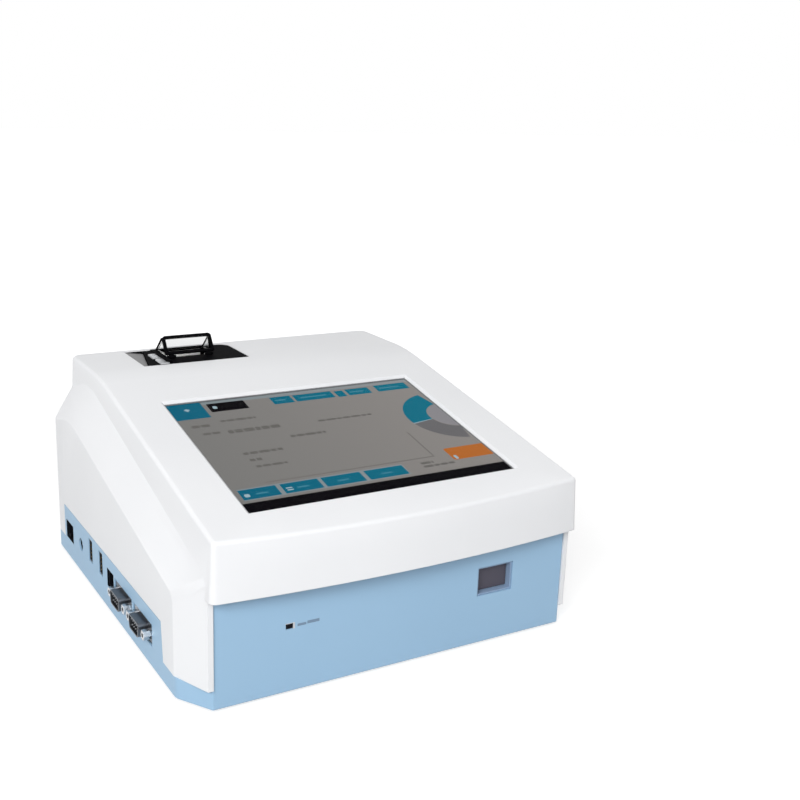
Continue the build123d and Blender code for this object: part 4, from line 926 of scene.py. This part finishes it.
@dataclass
class DisplayPicture:
    """Picture of the display: plain fields, bars and icons in place of the lettering."""

    colours: DisplayColours = DisplayColours()
    depth: float = -4.16
    layer: float = 0.04
    ground: Tile = Tile(-82.9, 82.9, 19.6, 149.1, 0.5)
    top_strip: Tile = Tile(-58.0, 82.9, 145.6, 149.1)
    blacks: tuple[Tile, ...] = (Tile(-82.9, 82.9, 19.6, 34.4), Tile(-55.8, -32.4, 135.4, 146.0))
    tabs: tuple[Tile, ...] = (
        Tile(-80.4, -58.6, 129.6, 149.1),
        Tile(-15.7, -2.4, 135.8, 145.0),
        Tile(-0.6, 25.4, 136.0, 144.6),
        Tile(27.6, 33.4, 135.6, 143.6),
        Tile(35.4, 51.4, 136.0, 144.2),
        Tile(56.4, 79.0, 136.4, 145.0),
    )
    keys: tuple[tuple[float, float], ...] = ((-76.7, -55.6), (-53.0, -31.1), (-29.0, -5.4), (-2.8, 21.4))
    key_low: float = 37.7
    key_high: float = 47.4
    key_border: Tile = Tile(-76.7, 22.2, 36.9, 48.6, 0.4)
    button: Tile = Tile(55.2, 83.0, 44.2, 57.6, 1.2)
    panel_lines: tuple[Tile, ...] = (Tile(-59.2, 46.0, 51.0, 52.0, 0.4), Tile(45.0, 46.0, 51.0, 82.0, 0.4))
    icons: tuple[Tile, ...] = (
        Tile(-71.0, -67.4, 140.6, 141.8, 0.6),
        Tile(-69.8, -68.6, 139.2, 142.6, 0.5),
        Tile(-75.0, -72.0, 40.0, 43.0, 0.9),
        Tile(-51.2, -47.6, 40.2, 41.2, 0.3),
        Tile(-51.2, -47.6, 42.2, 43.2, 0.3),
        Tile(-53.4, -50.8, 139.0, 142.4, 0.8),
        Tile(56.8, 58.8, 44.8, 49.0, 0.8),
    )
    key_bars: tuple[float, ...] = (-68.4, -45.0, -21.2, 5.6)
    tab_bars: tuple[tuple[float, float, float], ...] = (
        (-13.6, 7.0, 139.6), (3.0, 18.0, 139.6), (37.0, 10.0, 139.4), (58.4, 15.0, 139.8))
    # Lines of lettering as (left, right, middle, height).
    lines: tuple[tuple[float, float, float, float], ...] = (
        (-55.6, -33.7, 123.2, 2.6), (-56.2, -24.4, 109.6, 4.0), (0.0, 36.0, 109.2, 2.2), (-24.0, -1.6, 95.6, 2.8),
        (-58.2, -34.4, 83.4, 2.8), (-57.4, -50.2, 75.8, 2.8), (-56.9, -38.4, 68.4, 2.4), (33.4, 41.6, 45.8, 2.4),
        (33.2, 53.6, 42.0, 2.2), (-74.0, -63.2, 120.2, 3.2), (-71.0, -60.6, 110.6, 2.6))
    word_mm: float = 4.6
    word_gap: float = 0.7
    gauge_centre: tuple[float, float] = (85.5, 96.2)
    gauge_inner: float = 15.5
    gauge_outer: float = 30.2

    def build(self) -> None:
        """Builds the picture."""
        look = self.colours
        keys = [Tile(left, right, self.key_low, self.key_high) for left, right in self.keys]
        bars = [Tile(x, x + 7.0, 41.2, 42.6, 0.5) for x in self.key_bars]
        bars += [Tile(x, x + width, low, low + 1.6, 0.6) for x, width, low in self.tab_bars]
        self.fields("display_ground", [self.ground], 0, look.ground)
        self.fields("display_top_strip", [self.top_strip], 1, look.strip)
        self.fields("display_black_fields", self.blacks, 2, look.black)
        self.fields("display_teal_fields", [*self.tabs, *keys], 3, look.teal)
        self.fields("display_key_border", [self.key_border], 1, look.strip)
        self.fields("display_button", [self.button], 2, look.orange)
        self.fields("display_bars", self.words(), 2, look.bar)
        self.fields("display_panel_line", self.panel_lines, 1, look.line)
        self.fields("display_marks", self.icons, 4, look.pale)
        self.fields("display_field_bars", bars, 4, look.key_bar)
        self.gauge()

    def words(self) -> list[Tile]:
        """Breaks the lines of lettering into bars, one for each word.

        Returns:
            One tile for each word.
        """
        words: list[Tile] = []
        for number, (left, right, middle, height) in enumerate(self.lines):
            place = left
            while place < right - 1.0:
                share = 0.7 + 0.35 * ((number + len(words)) % 3)
                end = min(place + self.word_mm * share, right)
                words.append(Tile(place, end, middle - height / 2, middle + height / 2, 0.8))
                place = end + self.word_gap
        return words

    def fields(self, name: str, tiles: Iterable[Tile], level: int, finish: Finish) -> None:
        """Builds fields of one colour as thin plates on the display.

        Args:
            name: Name of the piece.
            tiles: The fields.
            level: Layer of the picture, 0 at the bottom.
            finish: Colour of the fields.
        """
        shape = Shape()
        low = self.depth + level * self.layer
        for tile in tiles:
            width, height = tile.right - tile.left, tile.high - tile.low
            outline = rounded(width, height, min(tile.radius, width / 2.1, height / 2.1), 3)
            x, up = (tile.left + tile.right) / 2, (tile.low + tile.high) / 2
            shape.prism([(x + a, up + b) for a, b in outline], low, low + self.layer)
        fixed(name, shape, finish, CASE.on_slope)

    def arc(self, name: str, radii: tuple[float, float], angles: tuple[float, float], level: int,
            finish: Finish) -> None:
        """Builds one segment of the round gauge.

        Args:
            name: Name of the piece.
            radii: Inner and outer radius.
            angles: First and last angle in degrees.
            level: Layer of the picture.
            finish: Colour of the segment.
        """
        low = self.depth + level * self.layer
        first, last = angles
        steps = max(4, int((last - first) / 5))
        turn = [math.radians(first + (last - first) * i / steps) for i in range(steps + 1)]
        x, up = self.gauge_centre
        near, far = ([(x + r * math.cos(a), up + r * math.sin(a)) for a in turn] if r else [] for r in radii)
        shape = Shape().prism(far + near[::-1], low, low + self.layer)
        fixed(name, shape, finish, CASE.on_slope)

    def gauge(self) -> None:
        """Builds the half-round gauge, cut off by the picture's right edge."""
        ring = (self.gauge_inner, self.gauge_outer)
        self.arc("display_gauge_middle", (0.0, self.gauge_inner - 0.8), (101.5, 258.5), 1, self.colours.gauge_middle)
        self.arc("display_gauge_teal", ring, (103, 189), 2, self.colours.teal)
        self.arc("display_gauge_gap", ring, (189, 190.5), 2, self.colours.pale)
        self.arc("display_gauge_grey", ring, (190.5, 260), 2, self.colours.gauge_ring)


@dataclass(frozen=True)
class ScrewKind:
    """One kind of screw: its node, its sizes in mm, its turn about X from head up and its seats."""

    node: str
    head_radius: float
    head_height: float
    shank_radius: float
    shank: float
    turn_deg: float
    seats: tuple[Vector, ...]


@dataclass
class Screws:
    """Cross-recessed screws that stand for the plain CAD screws."""

    case_x: tuple[float, float] = (-108.0, 108.0)
    case_y: tuple[float, float] = (32.0, 232.0)
    panel_face: float = 244.6
    panel_places: tuple[tuple[float, float], ...] = ((-65, 25), (65, 53))
    board_top: float = 10.0
    board_x: tuple[float, float] = (-92, -35)
    board_y: tuple[float, float] = (54, 222)
    ear_under: float = -14.2
    bracket_x: tuple[float, float] = (-96, 96)
    bracket_up: tuple[float, float] = (40, 138)
    sides: int = 16

    def kinds(self) -> list[ScrewKind]:
        """Lists the four kinds of screws.

        Returns:
            The kinds with their sizes and seats.
        """
        case = tuple(CASE.at(x, y, 0) for x in self.case_x for y in self.case_y)
        panel = tuple(CASE.at(x, self.panel_face, z) for x, z in self.panel_places)
        board = tuple(CASE.at(x, y, self.board_top) for x in self.board_x for y in self.board_y)
        bracket = tuple(CASE.on_slope(x, up, self.ear_under) for x in self.bracket_x for up in self.bracket_up)
        return [
            ScrewKind("case_screws", 2.9, 1.2, 1.2, 19.0, 180.0, case),
            ScrewKind("panel_screws", 2.8, 1.6, 1.2, 4.5, -90.0, panel),
            ScrewKind("board_screws", 2.5, 1.6, 1.15, 5.0, 0.0, board),
            ScrewKind("bracket_screws", 2.5, 1.6, 1.2, 7.0, 180.0 + CASE.slope_deg, bracket),
        ]

    def unit(self, kind: ScrewKind) -> Mesh:
        """Builds one screw with its head up and the head's seat at z = 0.

        Args:
            kind: Its sizes.

        Returns:
            The mesh in metres.
        """
        radius, height, shank = kind.head_radius, kind.head_height, kind.shank_radius
        rim, top = radius * 0.5, height * 0.96
        point = [(0, -kind.shank), (shank * 0.6, -kind.shank), (shank, -kind.shank + 0.8), (shank, 0), (radius, 0)]
        dome = [(radius, height * 0.45), (radius * 0.86, height * 0.85), (radius * 0.62, top), (rim, top)]
        shape = Shape().turned(point + dome, self.sides)
        mesh = shape.mesh
        ring = [v for v in mesh.verts if abs(math.hypot(v.co.x, v.co.y) - rim) < 1e-6 and v.co.z > 0]
        ring.sort(key=lambda v: math.atan2(v.co.y, v.co.x) % math.tau)
        pit = []
        for i in range(self.sides):
            # Every fourth corner reaches out into an arm of the cross.
            reach = rim * (0.82 if i % 4 == 0 else 0.3)
            angle = i * math.tau / self.sides
            pit.append(mesh.verts.new((reach * math.cos(angle), reach * math.sin(angle), height * 0.9)))
        deep = [mesh.verts.new((v.co.x * 0.75, v.co.y * 0.75, height * 0.35)) for v in pit]
        shape.skirt(ring, pit)
        shape.skirt(pit, deep)
        mesh.faces.new(deep)
        return shape.finish(kind.node, scaled)

    def build(self) -> None:
        """Builds all screws."""
        for kind in self.kinds():
            unit = self.unit(kind)
            turn = Matrix.Rotation(math.radians(kind.turn_deg), 4, "X")
            shape = bmesh.new()
            for seat in kind.seats:
                copy = unit.copy()
                copy.transform(Matrix.Translation(seat) @ turn)
                shape.from_mesh(copy)
                bpy.data.meshes.remove(copy)
            name = kind.node.replace("screws", "screw_set")
            data = bpy.data.meshes.new(name)
            shape.to_mesh(data)
            shape.free()
            piece = keep(name, data, SCREW_ZINC, "case")
            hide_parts(kind.node)


@dataclass
class ConnectorStrip:
    """Sockets in the left cheek: contacts, pins, inserts and linings of the CAD sockets."""

    outside: float = -119.1
    wall: float = 2.8
    network_y: float = 213.5
    network_pitch: float = 1.02
    power_y: float = 188.3
    power_z: float = 18.5
    usb_y: tuple[float, float] = (166.8, 146.0)
    usb_z: float = 18.9
    usb_pitch: float = 2.47
    device_y: float = 127.0
    serial_y: tuple[float, float] = (103.6, 70.1)
    serial_z: float = 18.0
    pin_pitch: float = 2.77
    pin_rise: float = 1.42
    lining_mm: float = 0.35
    lining_gap: float = 0.02

    @property
    def inside(self) -> float:
        """Place of the cheek's inner face."""
        return self.outside + self.wall

    def build(self) -> None:
        """Builds what all sockets hold."""
        self.network()
        for name, y in zip(("rear", "front"), self.usb_y):
            self.usb(name, y)
        for name, y in zip(("rear", "front"), self.serial_y):
            self.serial(name, y)
        self.jack()
        self.lining("network", (self.network_y - 8.0, 12.0), (self.network_y + 8.0, 24.0))
        self.lining("device", (self.device_y - 6.2, 14.2), (self.device_y + 6.2, 25.4))

    def network(self) -> None:
        """Builds the eight sprung contact wires of the network socket."""
        wire = Shape().block((-0.18, -5.0, -0.1), (0.18, 3.0, 0.1))
        data = wire.finish("network_wire", lambda x, y, z: Vector((y, x, -y * 0.35 + z)) * MM)
        start = CASE.at(self.inside + 6, self.network_y - 3.5 * self.network_pitch, 20.2)
        step = Vector((0, self.network_pitch, 0)) * MM
        values = {"Count": 8, "Start": start, "Step": step}
        grow("network_contacts", ROW, data, values, GOLD)

    def usb(self, name: str, y: float) -> None:
        """Builds the tongue of an upright socket and its four contacts.

        Args:
            name: Front or rear.
            y: Middle of the socket.
        """
        strip = Shape().block((-5.5, -0.12, -0.5), (3.5, 0.12, 0.5)).finish("usb_strip", scaled)
        start = CASE.at(self.inside + 3, y - 0.3, self.usb_z)
        step = Vector((0, 0, self.usb_pitch)) * MM
        values = {"Count": 4, "Start": start, "Step": step}
        grow(f"usb_contacts_{name}", ROW, strip, values, GOLD)
        tongue = Shape().block((self.inside - 1.6, y - 0.3, 17.0), (self.inside + 9.8, y + 1.7, 28.2)).soften(0.25)
        fixed(f"usb_tongue_{name}", tongue, SOCKET_BLACK)

    def serial(self, name: str, y: float) -> None:
        """Builds the insert and the nine pins of a serial socket.

        Args:
            name: Front or rear.
            y: Middle of the socket.
        """
        floor = self.outside + 0.4
        profile = [(7.65, 3.35), (-7.65, 3.35), (-6.35, -3.35), (6.35, -3.35)]
        insert = Shape().prism(profile, 0, 2.4).soften(0.3)
        fixed(f"serial_insert_{name}", insert, INSERT_GREY,
              lambda a, b, c: CASE.at(floor - c, y - a, self.serial_z + b))
        step = Vector((0, self.pin_pitch, 0)) * MM
        for count, rise, label in ((5, self.pin_rise, "upper"), (4, -self.pin_rise, "lower")):
            profile = [(0, 0), (0.5, 0), (0.5, 4.1), (0.3, 4.6), (0, 4.7)]
            pin = Shape().turned(profile, 10).finish("pin", toward_left)
            start = CASE.at(floor - 0.2, y - self.pin_pitch * (count - 1) / 2, self.serial_z + rise)
            values = {"Count": count, "Start": start, "Step": step}
            grow(f"serial_pins_{label}_{name}", ROW, pin, values, PIN_TIN)

    def lining(self, name: str, low: tuple[float, float], high: tuple[float, float]) -> None:
        """Builds the dark lining of an opening in the cheek.

        Args:
            name: Name of the socket.
            low: Lower front corner of the opening, as (y, z).
            high: Upper rear corner of the opening.
        """
        thick, gap = self.lining_mm, self.lining_gap
        (y0, z0), (y1, z1) = low, high
        sides = (((y0, z0), (y0 + thick, z1)), ((y1 - thick, z0), (y1, z1)),
                 ((y0 + thick, z1 - thick), (y1 - thick, z1)), ((y0 + thick, z0), (y1 - thick, z0 + thick)))
        outer, inner = self.outside + 0.05, self.inside
        shape = Shape()
        for (front, under), (rear, over) in sides:
            shape.block((outer, front + gap, under + gap), (inner, rear - gap, over - gap))
        fixed(f"{name}_lining", shape, SOCKET_BLACK)

    def jack(self) -> None:
        """Builds the metal tip of the power jack's pin."""
        shape = Shape().turned([(1.02, -6.0), (1.02, 1.2), (0.8, 1.7), (0.3, 1.9), (0, 1.9)], 20)
        shape.turned([(1.02, -6.0), (0, -6.0)], 20)
        fixed("power_pin_tip", shape, JACK_NICKEL,
              lambda a, b, c: CASE.at(self.inside - c, self.power_y + a, self.power_z + b))


@dataclass
class StripPrinter:
    """Strip printer: a grey sheet of painted shade on the recess flank, strip beside the keys, tear teeth and blade of
    the CAD printer.
    """

    lid_left: float = -54.5
    lid_right: float = -21.5
    tear_y: float = 234.0
    tear_z: float = 124.6
    teeth: int = 30
    # Corners of the grey sheet of painted shade on the recess flank, in mm.
    flank: tuple[Point, ...] = (
        (-73.9, 194.1, 125.3), (-71.1, 194.1, 124.85), (-62.4, 232.8, 124.85), (-73.9, 232.8, 126.65))
    flank_thick: float = 0.2
    flank_top: float = 126.68
    strip: tuple[Point, Point] = ((-58.9, 196.2, 127.75), (-55.05, 229.0, 128.5))
    strip_foot: tuple[Point, Point] = ((-56.2, 196.4, 126.2), (-55.05, 229.0, 127.9))

    def build(self) -> None:
        """Builds the printer's trim and the sheet of painted shade beside it."""
        self.flank_plate()
        cover = Shape().block(*self.strip).soften(0.2).block(*self.strip_foot)
        fixed("key_cover", cover, BEZEL_BLACK)
        self.tear_edge()

    def flank_plate(self) -> None:
        """Builds a thin grey sheet on the white cover's recess flank, left of the bezel: painted shade of that flank.
        """
        top = [(x, y, min(z + self.flank_thick, self.flank_top)) for x, y, z in self.flank]
        shade_sheet = Shape().slab(self.flank, top)
        fixed("flank_plate", shade_sheet, FLANK_PAINTED_SHADE)

    def tear_edge(self) -> None:
        """Builds the blade behind the paper and its teeth."""
        tooth = Shape().prism([(-0.55, 0.0), (0.55, 0.0), (0.0, 0.9)], -0.2, 0.2)
        data = tooth.finish("tear_tooth", lambda x, y, z: Vector((x, z, y)) * MM)
        pitch = (self.lid_right - self.lid_left - 2.4) / self.teeth
        start = CASE.at(self.lid_left + 1.2 + pitch / 2, self.tear_y, self.tear_z)
        step = Vector((pitch, 0, 0)) * MM
        values = {"Count": self.teeth, "Start": start, "Step": step}
        grow("tear_teeth", ROW, data, values, STEEL)
        low = (self.lid_left + 0.8, self.tear_y - 0.2, self.tear_z - 4.0)
        high = (self.lid_right - 0.8, self.tear_y + 0.2, self.tear_z)
        blade = Shape().block(low, high).soften(0.05)
        fixed("tear_blade", blade, STEEL)


@dataclass
class CardStage:
    """Card stage: thread of the lead screw that moves the card drawer."""

    screw_x: float = 60.3
    screw_z: float = 23.0
    front: float = 8.4
    length: float = 142.0
    radius: float = 2.0
    depth: float = 0.4
    pitch: float = 4.0

    def build(self) -> None:
        """Builds the threaded lead screw."""
        values = {"Radius": self.radius * MM, "Depth": self.depth * MM, "Pitch": self.pitch * MM,
                  "Turns": self.length / self.pitch - 1, "Length": self.length * MM,
                  "Material": material_of(STEEL)}
        data = THREAD.run("lead_screw_thread", values)
        turn = Matrix.Rotation(-math.pi / 2, 4, "X")
        data.transform(Matrix.Translation(CASE.at(self.screw_x, self.front, self.screw_z)) @ turn)
        piece = keep("lead_screw_thread", data, STEEL, "screw")
        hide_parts("lead_screw")


@dataclass
class FrontMarks:
    """Small things of the blue front: the indicator's light rim and two printed bars beside it."""

    left: float = -68.0
    right: float = -63.8
    low: float = 34.7
    high: float = 37.8
    bars: tuple[tuple[Point, Point], ...] = (((-61.5, -0.06, 35.4), (-56.6, 0.02, 36.7)),
                                             ((-56.0, -0.06, 35.6), (-49.2, 0.02, 37.2)))

    def build(self) -> None:
        """Builds the rim and the bars."""
        edge = self.right + 0.75
        rim = Shape().block((self.right - 0.15, -0.25, self.low), (edge, 0.5, self.high))
        rim.block((self.left - 0.25, -0.15, self.high - 0.1), (edge, 0.5, self.high + 0.2))
        fixed("indicator_rim", rim, GREY_ABS)
        marks = Shape()
        for low, high in self.bars:
            marks.block(low, high)
        fixed("indicator_bar", marks, BLUE_PRINT)


@dataclass(frozen=True)
class BoardParts:
    """Kind of small parts: their size, the field they lie in (mm), its grid, and the share of places filled."""

    name: str
    size: Point
    rounding: float
    middle: tuple[float, float]
    field: tuple[float, float]
    cells: tuple[int, int]
    fill: float
    finish: Finish


@dataclass
class Electronics:
    """Chips and capacitors on the main board."""

    board_top: float = 10.0
    kinds: tuple[BoardParts, ...] = (
        BoardParts("main_board_parts", (3.2, 2.0, 0.9), 0.1, (-76.0, 60.0), (44.0, 70.0), (9, 16), 0.45, CHIP),
        BoardParts("main_board_capacitors", (1.8, 1.0, 0.6), 0.08, (-76.8, 64.0), (46.0, 74.0), (14, 20), 0.25, ACETAL),
    )

    def build(self) -> None:
        """Strews the parts over the board."""
        for kind in self.kinds:
            width, depth, height = kind.size
            unit = Shape().block((-width / 2, -depth / 2, 0), (width / 2, depth / 2, height)).soften(kind.rounding, 1)
            values = {"Size": Vector((*kind.field, 0)) * MM, "Columns": kind.cells[0], "Rows": kind.cells[1],
                      "Centre": CASE.at(*kind.middle, self.board_top), "Fill": kind.fill}
            data = unit.finish(kind.name, scaled)
            grow(kind.name, COMPONENTS, data, values, kind.finish)


@dataclass
class SwitchSigns:
    """Signs of the power switch: a bar for on and a ring for off, as on any such rocker."""

    switch_x: float = -50.0
    switch_z: float = 38.0
    axis_y: float = 242.6
    tilt_deg: float = 8.0
    dip: float = 2.4
    rise: float = 1.0
    half: float = 7.7
    sign_at: float = 4.3
    sunk: float = -0.1
    proud: float = 0.06
    bar: tuple[float, float, float] = (0.8, 3.6, 0.2)
    ring: tuple[float, float] = (1.1, 1.8)

    def on_rocker(self, across: float, up: float, out: float) -> Vector:
        """Place of a point on the rocker's outer face, with the rocker at off.

        Args:
            across: From the rocker's middle to the end marked as on, in mm.
            up: Above the rocker's middle, in mm.
            out: Height over the face, in mm.

        Returns:
            The point in metres.
        """
        reach = self.dip + self.rise * abs(across) / self.half + out
        turn = math.radians(self.tilt_deg)
        x = across * math.cos(turn) - reach * math.sin(turn)
        y = across * math.sin(turn) + reach * math.cos(turn)
        return CASE.at(self.switch_x + x, self.axis_y + y, self.switch_z + up)

    def build(self) -> None:
        """Builds the signs on the rocker."""
        bar = Shape().prism(rounded(*self.bar, 3), self.sunk, self.proud)
        data = bar.finish("sign_on", lambda a, b, c: self.on_rocker(self.sign_at + a, b, c))
        keep("sign_on", data, WHITE_PRINT, "rocker")
        inner, outer = self.ring
        section = [(inner, self.sunk), (outer, self.sunk), (outer, self.proud), (inner, self.proud), (inner, self.sunk)]
        ring = Shape().turned(section, 28)
        bmesh.ops.remove_doubles(ring.mesh, verts=ring.mesh.verts, dist=0.001)
        data = ring.finish("sign_off", lambda a, b, c: self.on_rocker(a - self.sign_at, b, c))
        keep("sign_off", data, WHITE_PRINT, "rocker")


@dataclass(frozen=True)
class Softbox:
    """Square softbox that faces the object: place and width in metres, power in watts."""

    name: str
    place: Point
    width: float
    power: float


@dataclass
class Studio:
    """Floor, lights, world and the camera."""

    camera_mm: Point = (-286.107, -582.348, 300.227)
    azimuth: float = -0.5458
    elevation: float = 0.2709
    roll: float = 0.0374
    lens: float = 50.641
    sensor: float = 36.0
    sky: float = 0.42
    floor_mm: float = 6000.0
    floor_grey: float = 0.47
    floor_glow: float = 0.63
    glow_from: float = 0.4
    glow_to: float = 0.9
    aim: Point = (0.0, 0.0, 0.06)
    softboxes: tuple[Softbox, ...] = (
        Softbox("key_softbox", (-1.0, -0.98, 0.9), 0.6, 17.2),
        Softbox("left_softbox", (-1.2, 0.1, 1.05), 0.8, 2.4),
        Softbox("front_softbox", (-0.1, -1.3, 0.8), 0.7, 4.6),
        Softbox("right_softbox", (1.2, 0.35, 0.8), 0.8, 2.0),
    )

    def build(self) -> None:
        """Builds the studio."""
        self.camera()
        self.world()
        self.floor()
        for softbox in self.softboxes:
            self.lamp(softbox)

    def camera(self) -> None:
        """Sets the camera at the photograph's place and angle."""
        data = bpy.data.cameras.new("studio_camera")
        data.lens = self.lens
        data.sensor_width = self.sensor
        data.clip_start = 0.01
        eye = put("studio_camera", data)
        turn, rise = self.azimuth, self.elevation
        back = Vector((math.sin(turn) * math.cos(rise), -math.cos(turn) * math.cos(rise), math.sin(rise)))
        right = (-back).cross(Vector((0, 0, 1))).normalized()
        up = right.cross(-back)
        across = math.cos(self.roll) * right + math.sin(self.roll) * up
        upright = math.cos(self.roll) * up - math.sin(self.roll) * right
        matrix = Matrix((across, upright, back)).transposed().to_4x4()
        matrix.translation = Vector(self.camera_mm) * MM
        eye.matrix_world = matrix
        bpy.context.scene.camera = eye

    def seen(self, tree: NodeTree) -> NodeSocket:
        """Share that is 1 for the camera, for gloss and through glass, and 0 for the light on the object.

        Args:
            tree: Node tree of a material or the world.

        Returns:
            The share.
        """
        path = add(tree, "ShaderNodeLightPath").outputs
        direct = {0: path["Is Camera Ray"], 1: path["Is Glossy Ray"]}
        eye = add(tree, "ShaderNodeMath", direct, operation="MAXIMUM").outputs[0]
        return add(tree, "ShaderNodeMath", {0: eye, 1: path["Is Transmission Ray"]}, operation="MAXIMUM").outputs[0]

    def world(self) -> None:
        """Sets an even pale world that the camera, metal and glass see as white."""
        world = bpy.data.worlds.new("studio_world")
        world.use_nodes = True
        bpy.context.scene.world = world
        tree = world.node_tree
        ground = next(node for node in tree.nodes if node.bl_idname == "ShaderNodeBackground")
        level = add(tree, "ShaderNodeMapRange", {"Value": self.seen(tree), "To Min": self.sky}).outputs["Result"]
        feed(ground, {"Color": WHITE, "Strength": level})

    def floor(self) -> None:
        """Lays the pale floor: it keeps the object's shadow, and far from the object it is plain white."""
        half = self.floor_mm
        shape = Shape().block((-half, -half, -20), (half, half, 0))
        piece = put("studio_floor", shape.finish("studio_floor", scaled))
        look = Look("studio_floor")
        reach = look.node("ShaderNodeVectorMath", {0: look.place}, operation="LENGTH").outputs["Value"]
        ramp = {"Value": reach, "From Min": self.glow_from, "From Max": self.glow_to, "To Min": self.floor_glow}
        glow = look.node("ShaderNodeMapRange", ramp).outputs["Result"]
        shown = look.node("ShaderNodeMath", {0: self.seen(look.tree), 1: glow}, operation="MULTIPLY").outputs[0]
        grey = (self.floor_grey, self.floor_grey, self.floor_grey, 1.0)
        feed(look.shader, {"Base Color": grey, "Roughness": 0.9, "Emission Color": WHITE, "Emission Strength": shown})
        piece.data.materials.append(look.material)

    def lamp(self, softbox: Softbox) -> None:
        """Sets up a softbox.

        Args:
            softbox: Its place, width and power.
        """
        data = bpy.data.lights.new(softbox.name, "AREA")
        data.size = softbox.width
        data.energy = softbox.power
        lamp = put(softbox.name, data)
        lamp.location = softbox.place
        lamp.rotation_euler = (Vector(self.aim) - Vector(softbox.place)).to_track_quat("-Z", "Y").to_euler()


def main() -> None:
    """Builds the scene."""
    logging.basicConfig(level=logging.INFO, format="%(name)s: %(message)s")
    bpy.context.scene.view_settings.view_transform = "Standard"
    parts = (Studio(), CadDress(), DisplayPicture(), ConnectorStrip(), StripPrinter(), CardStage(), FrontMarks(),
             Electronics(), Screws(), SwitchSigns())
    for part in parts:
        LOG.info("building %s", type(part).__name__)
        part.build()


if __name__ == "__main__":
    main()
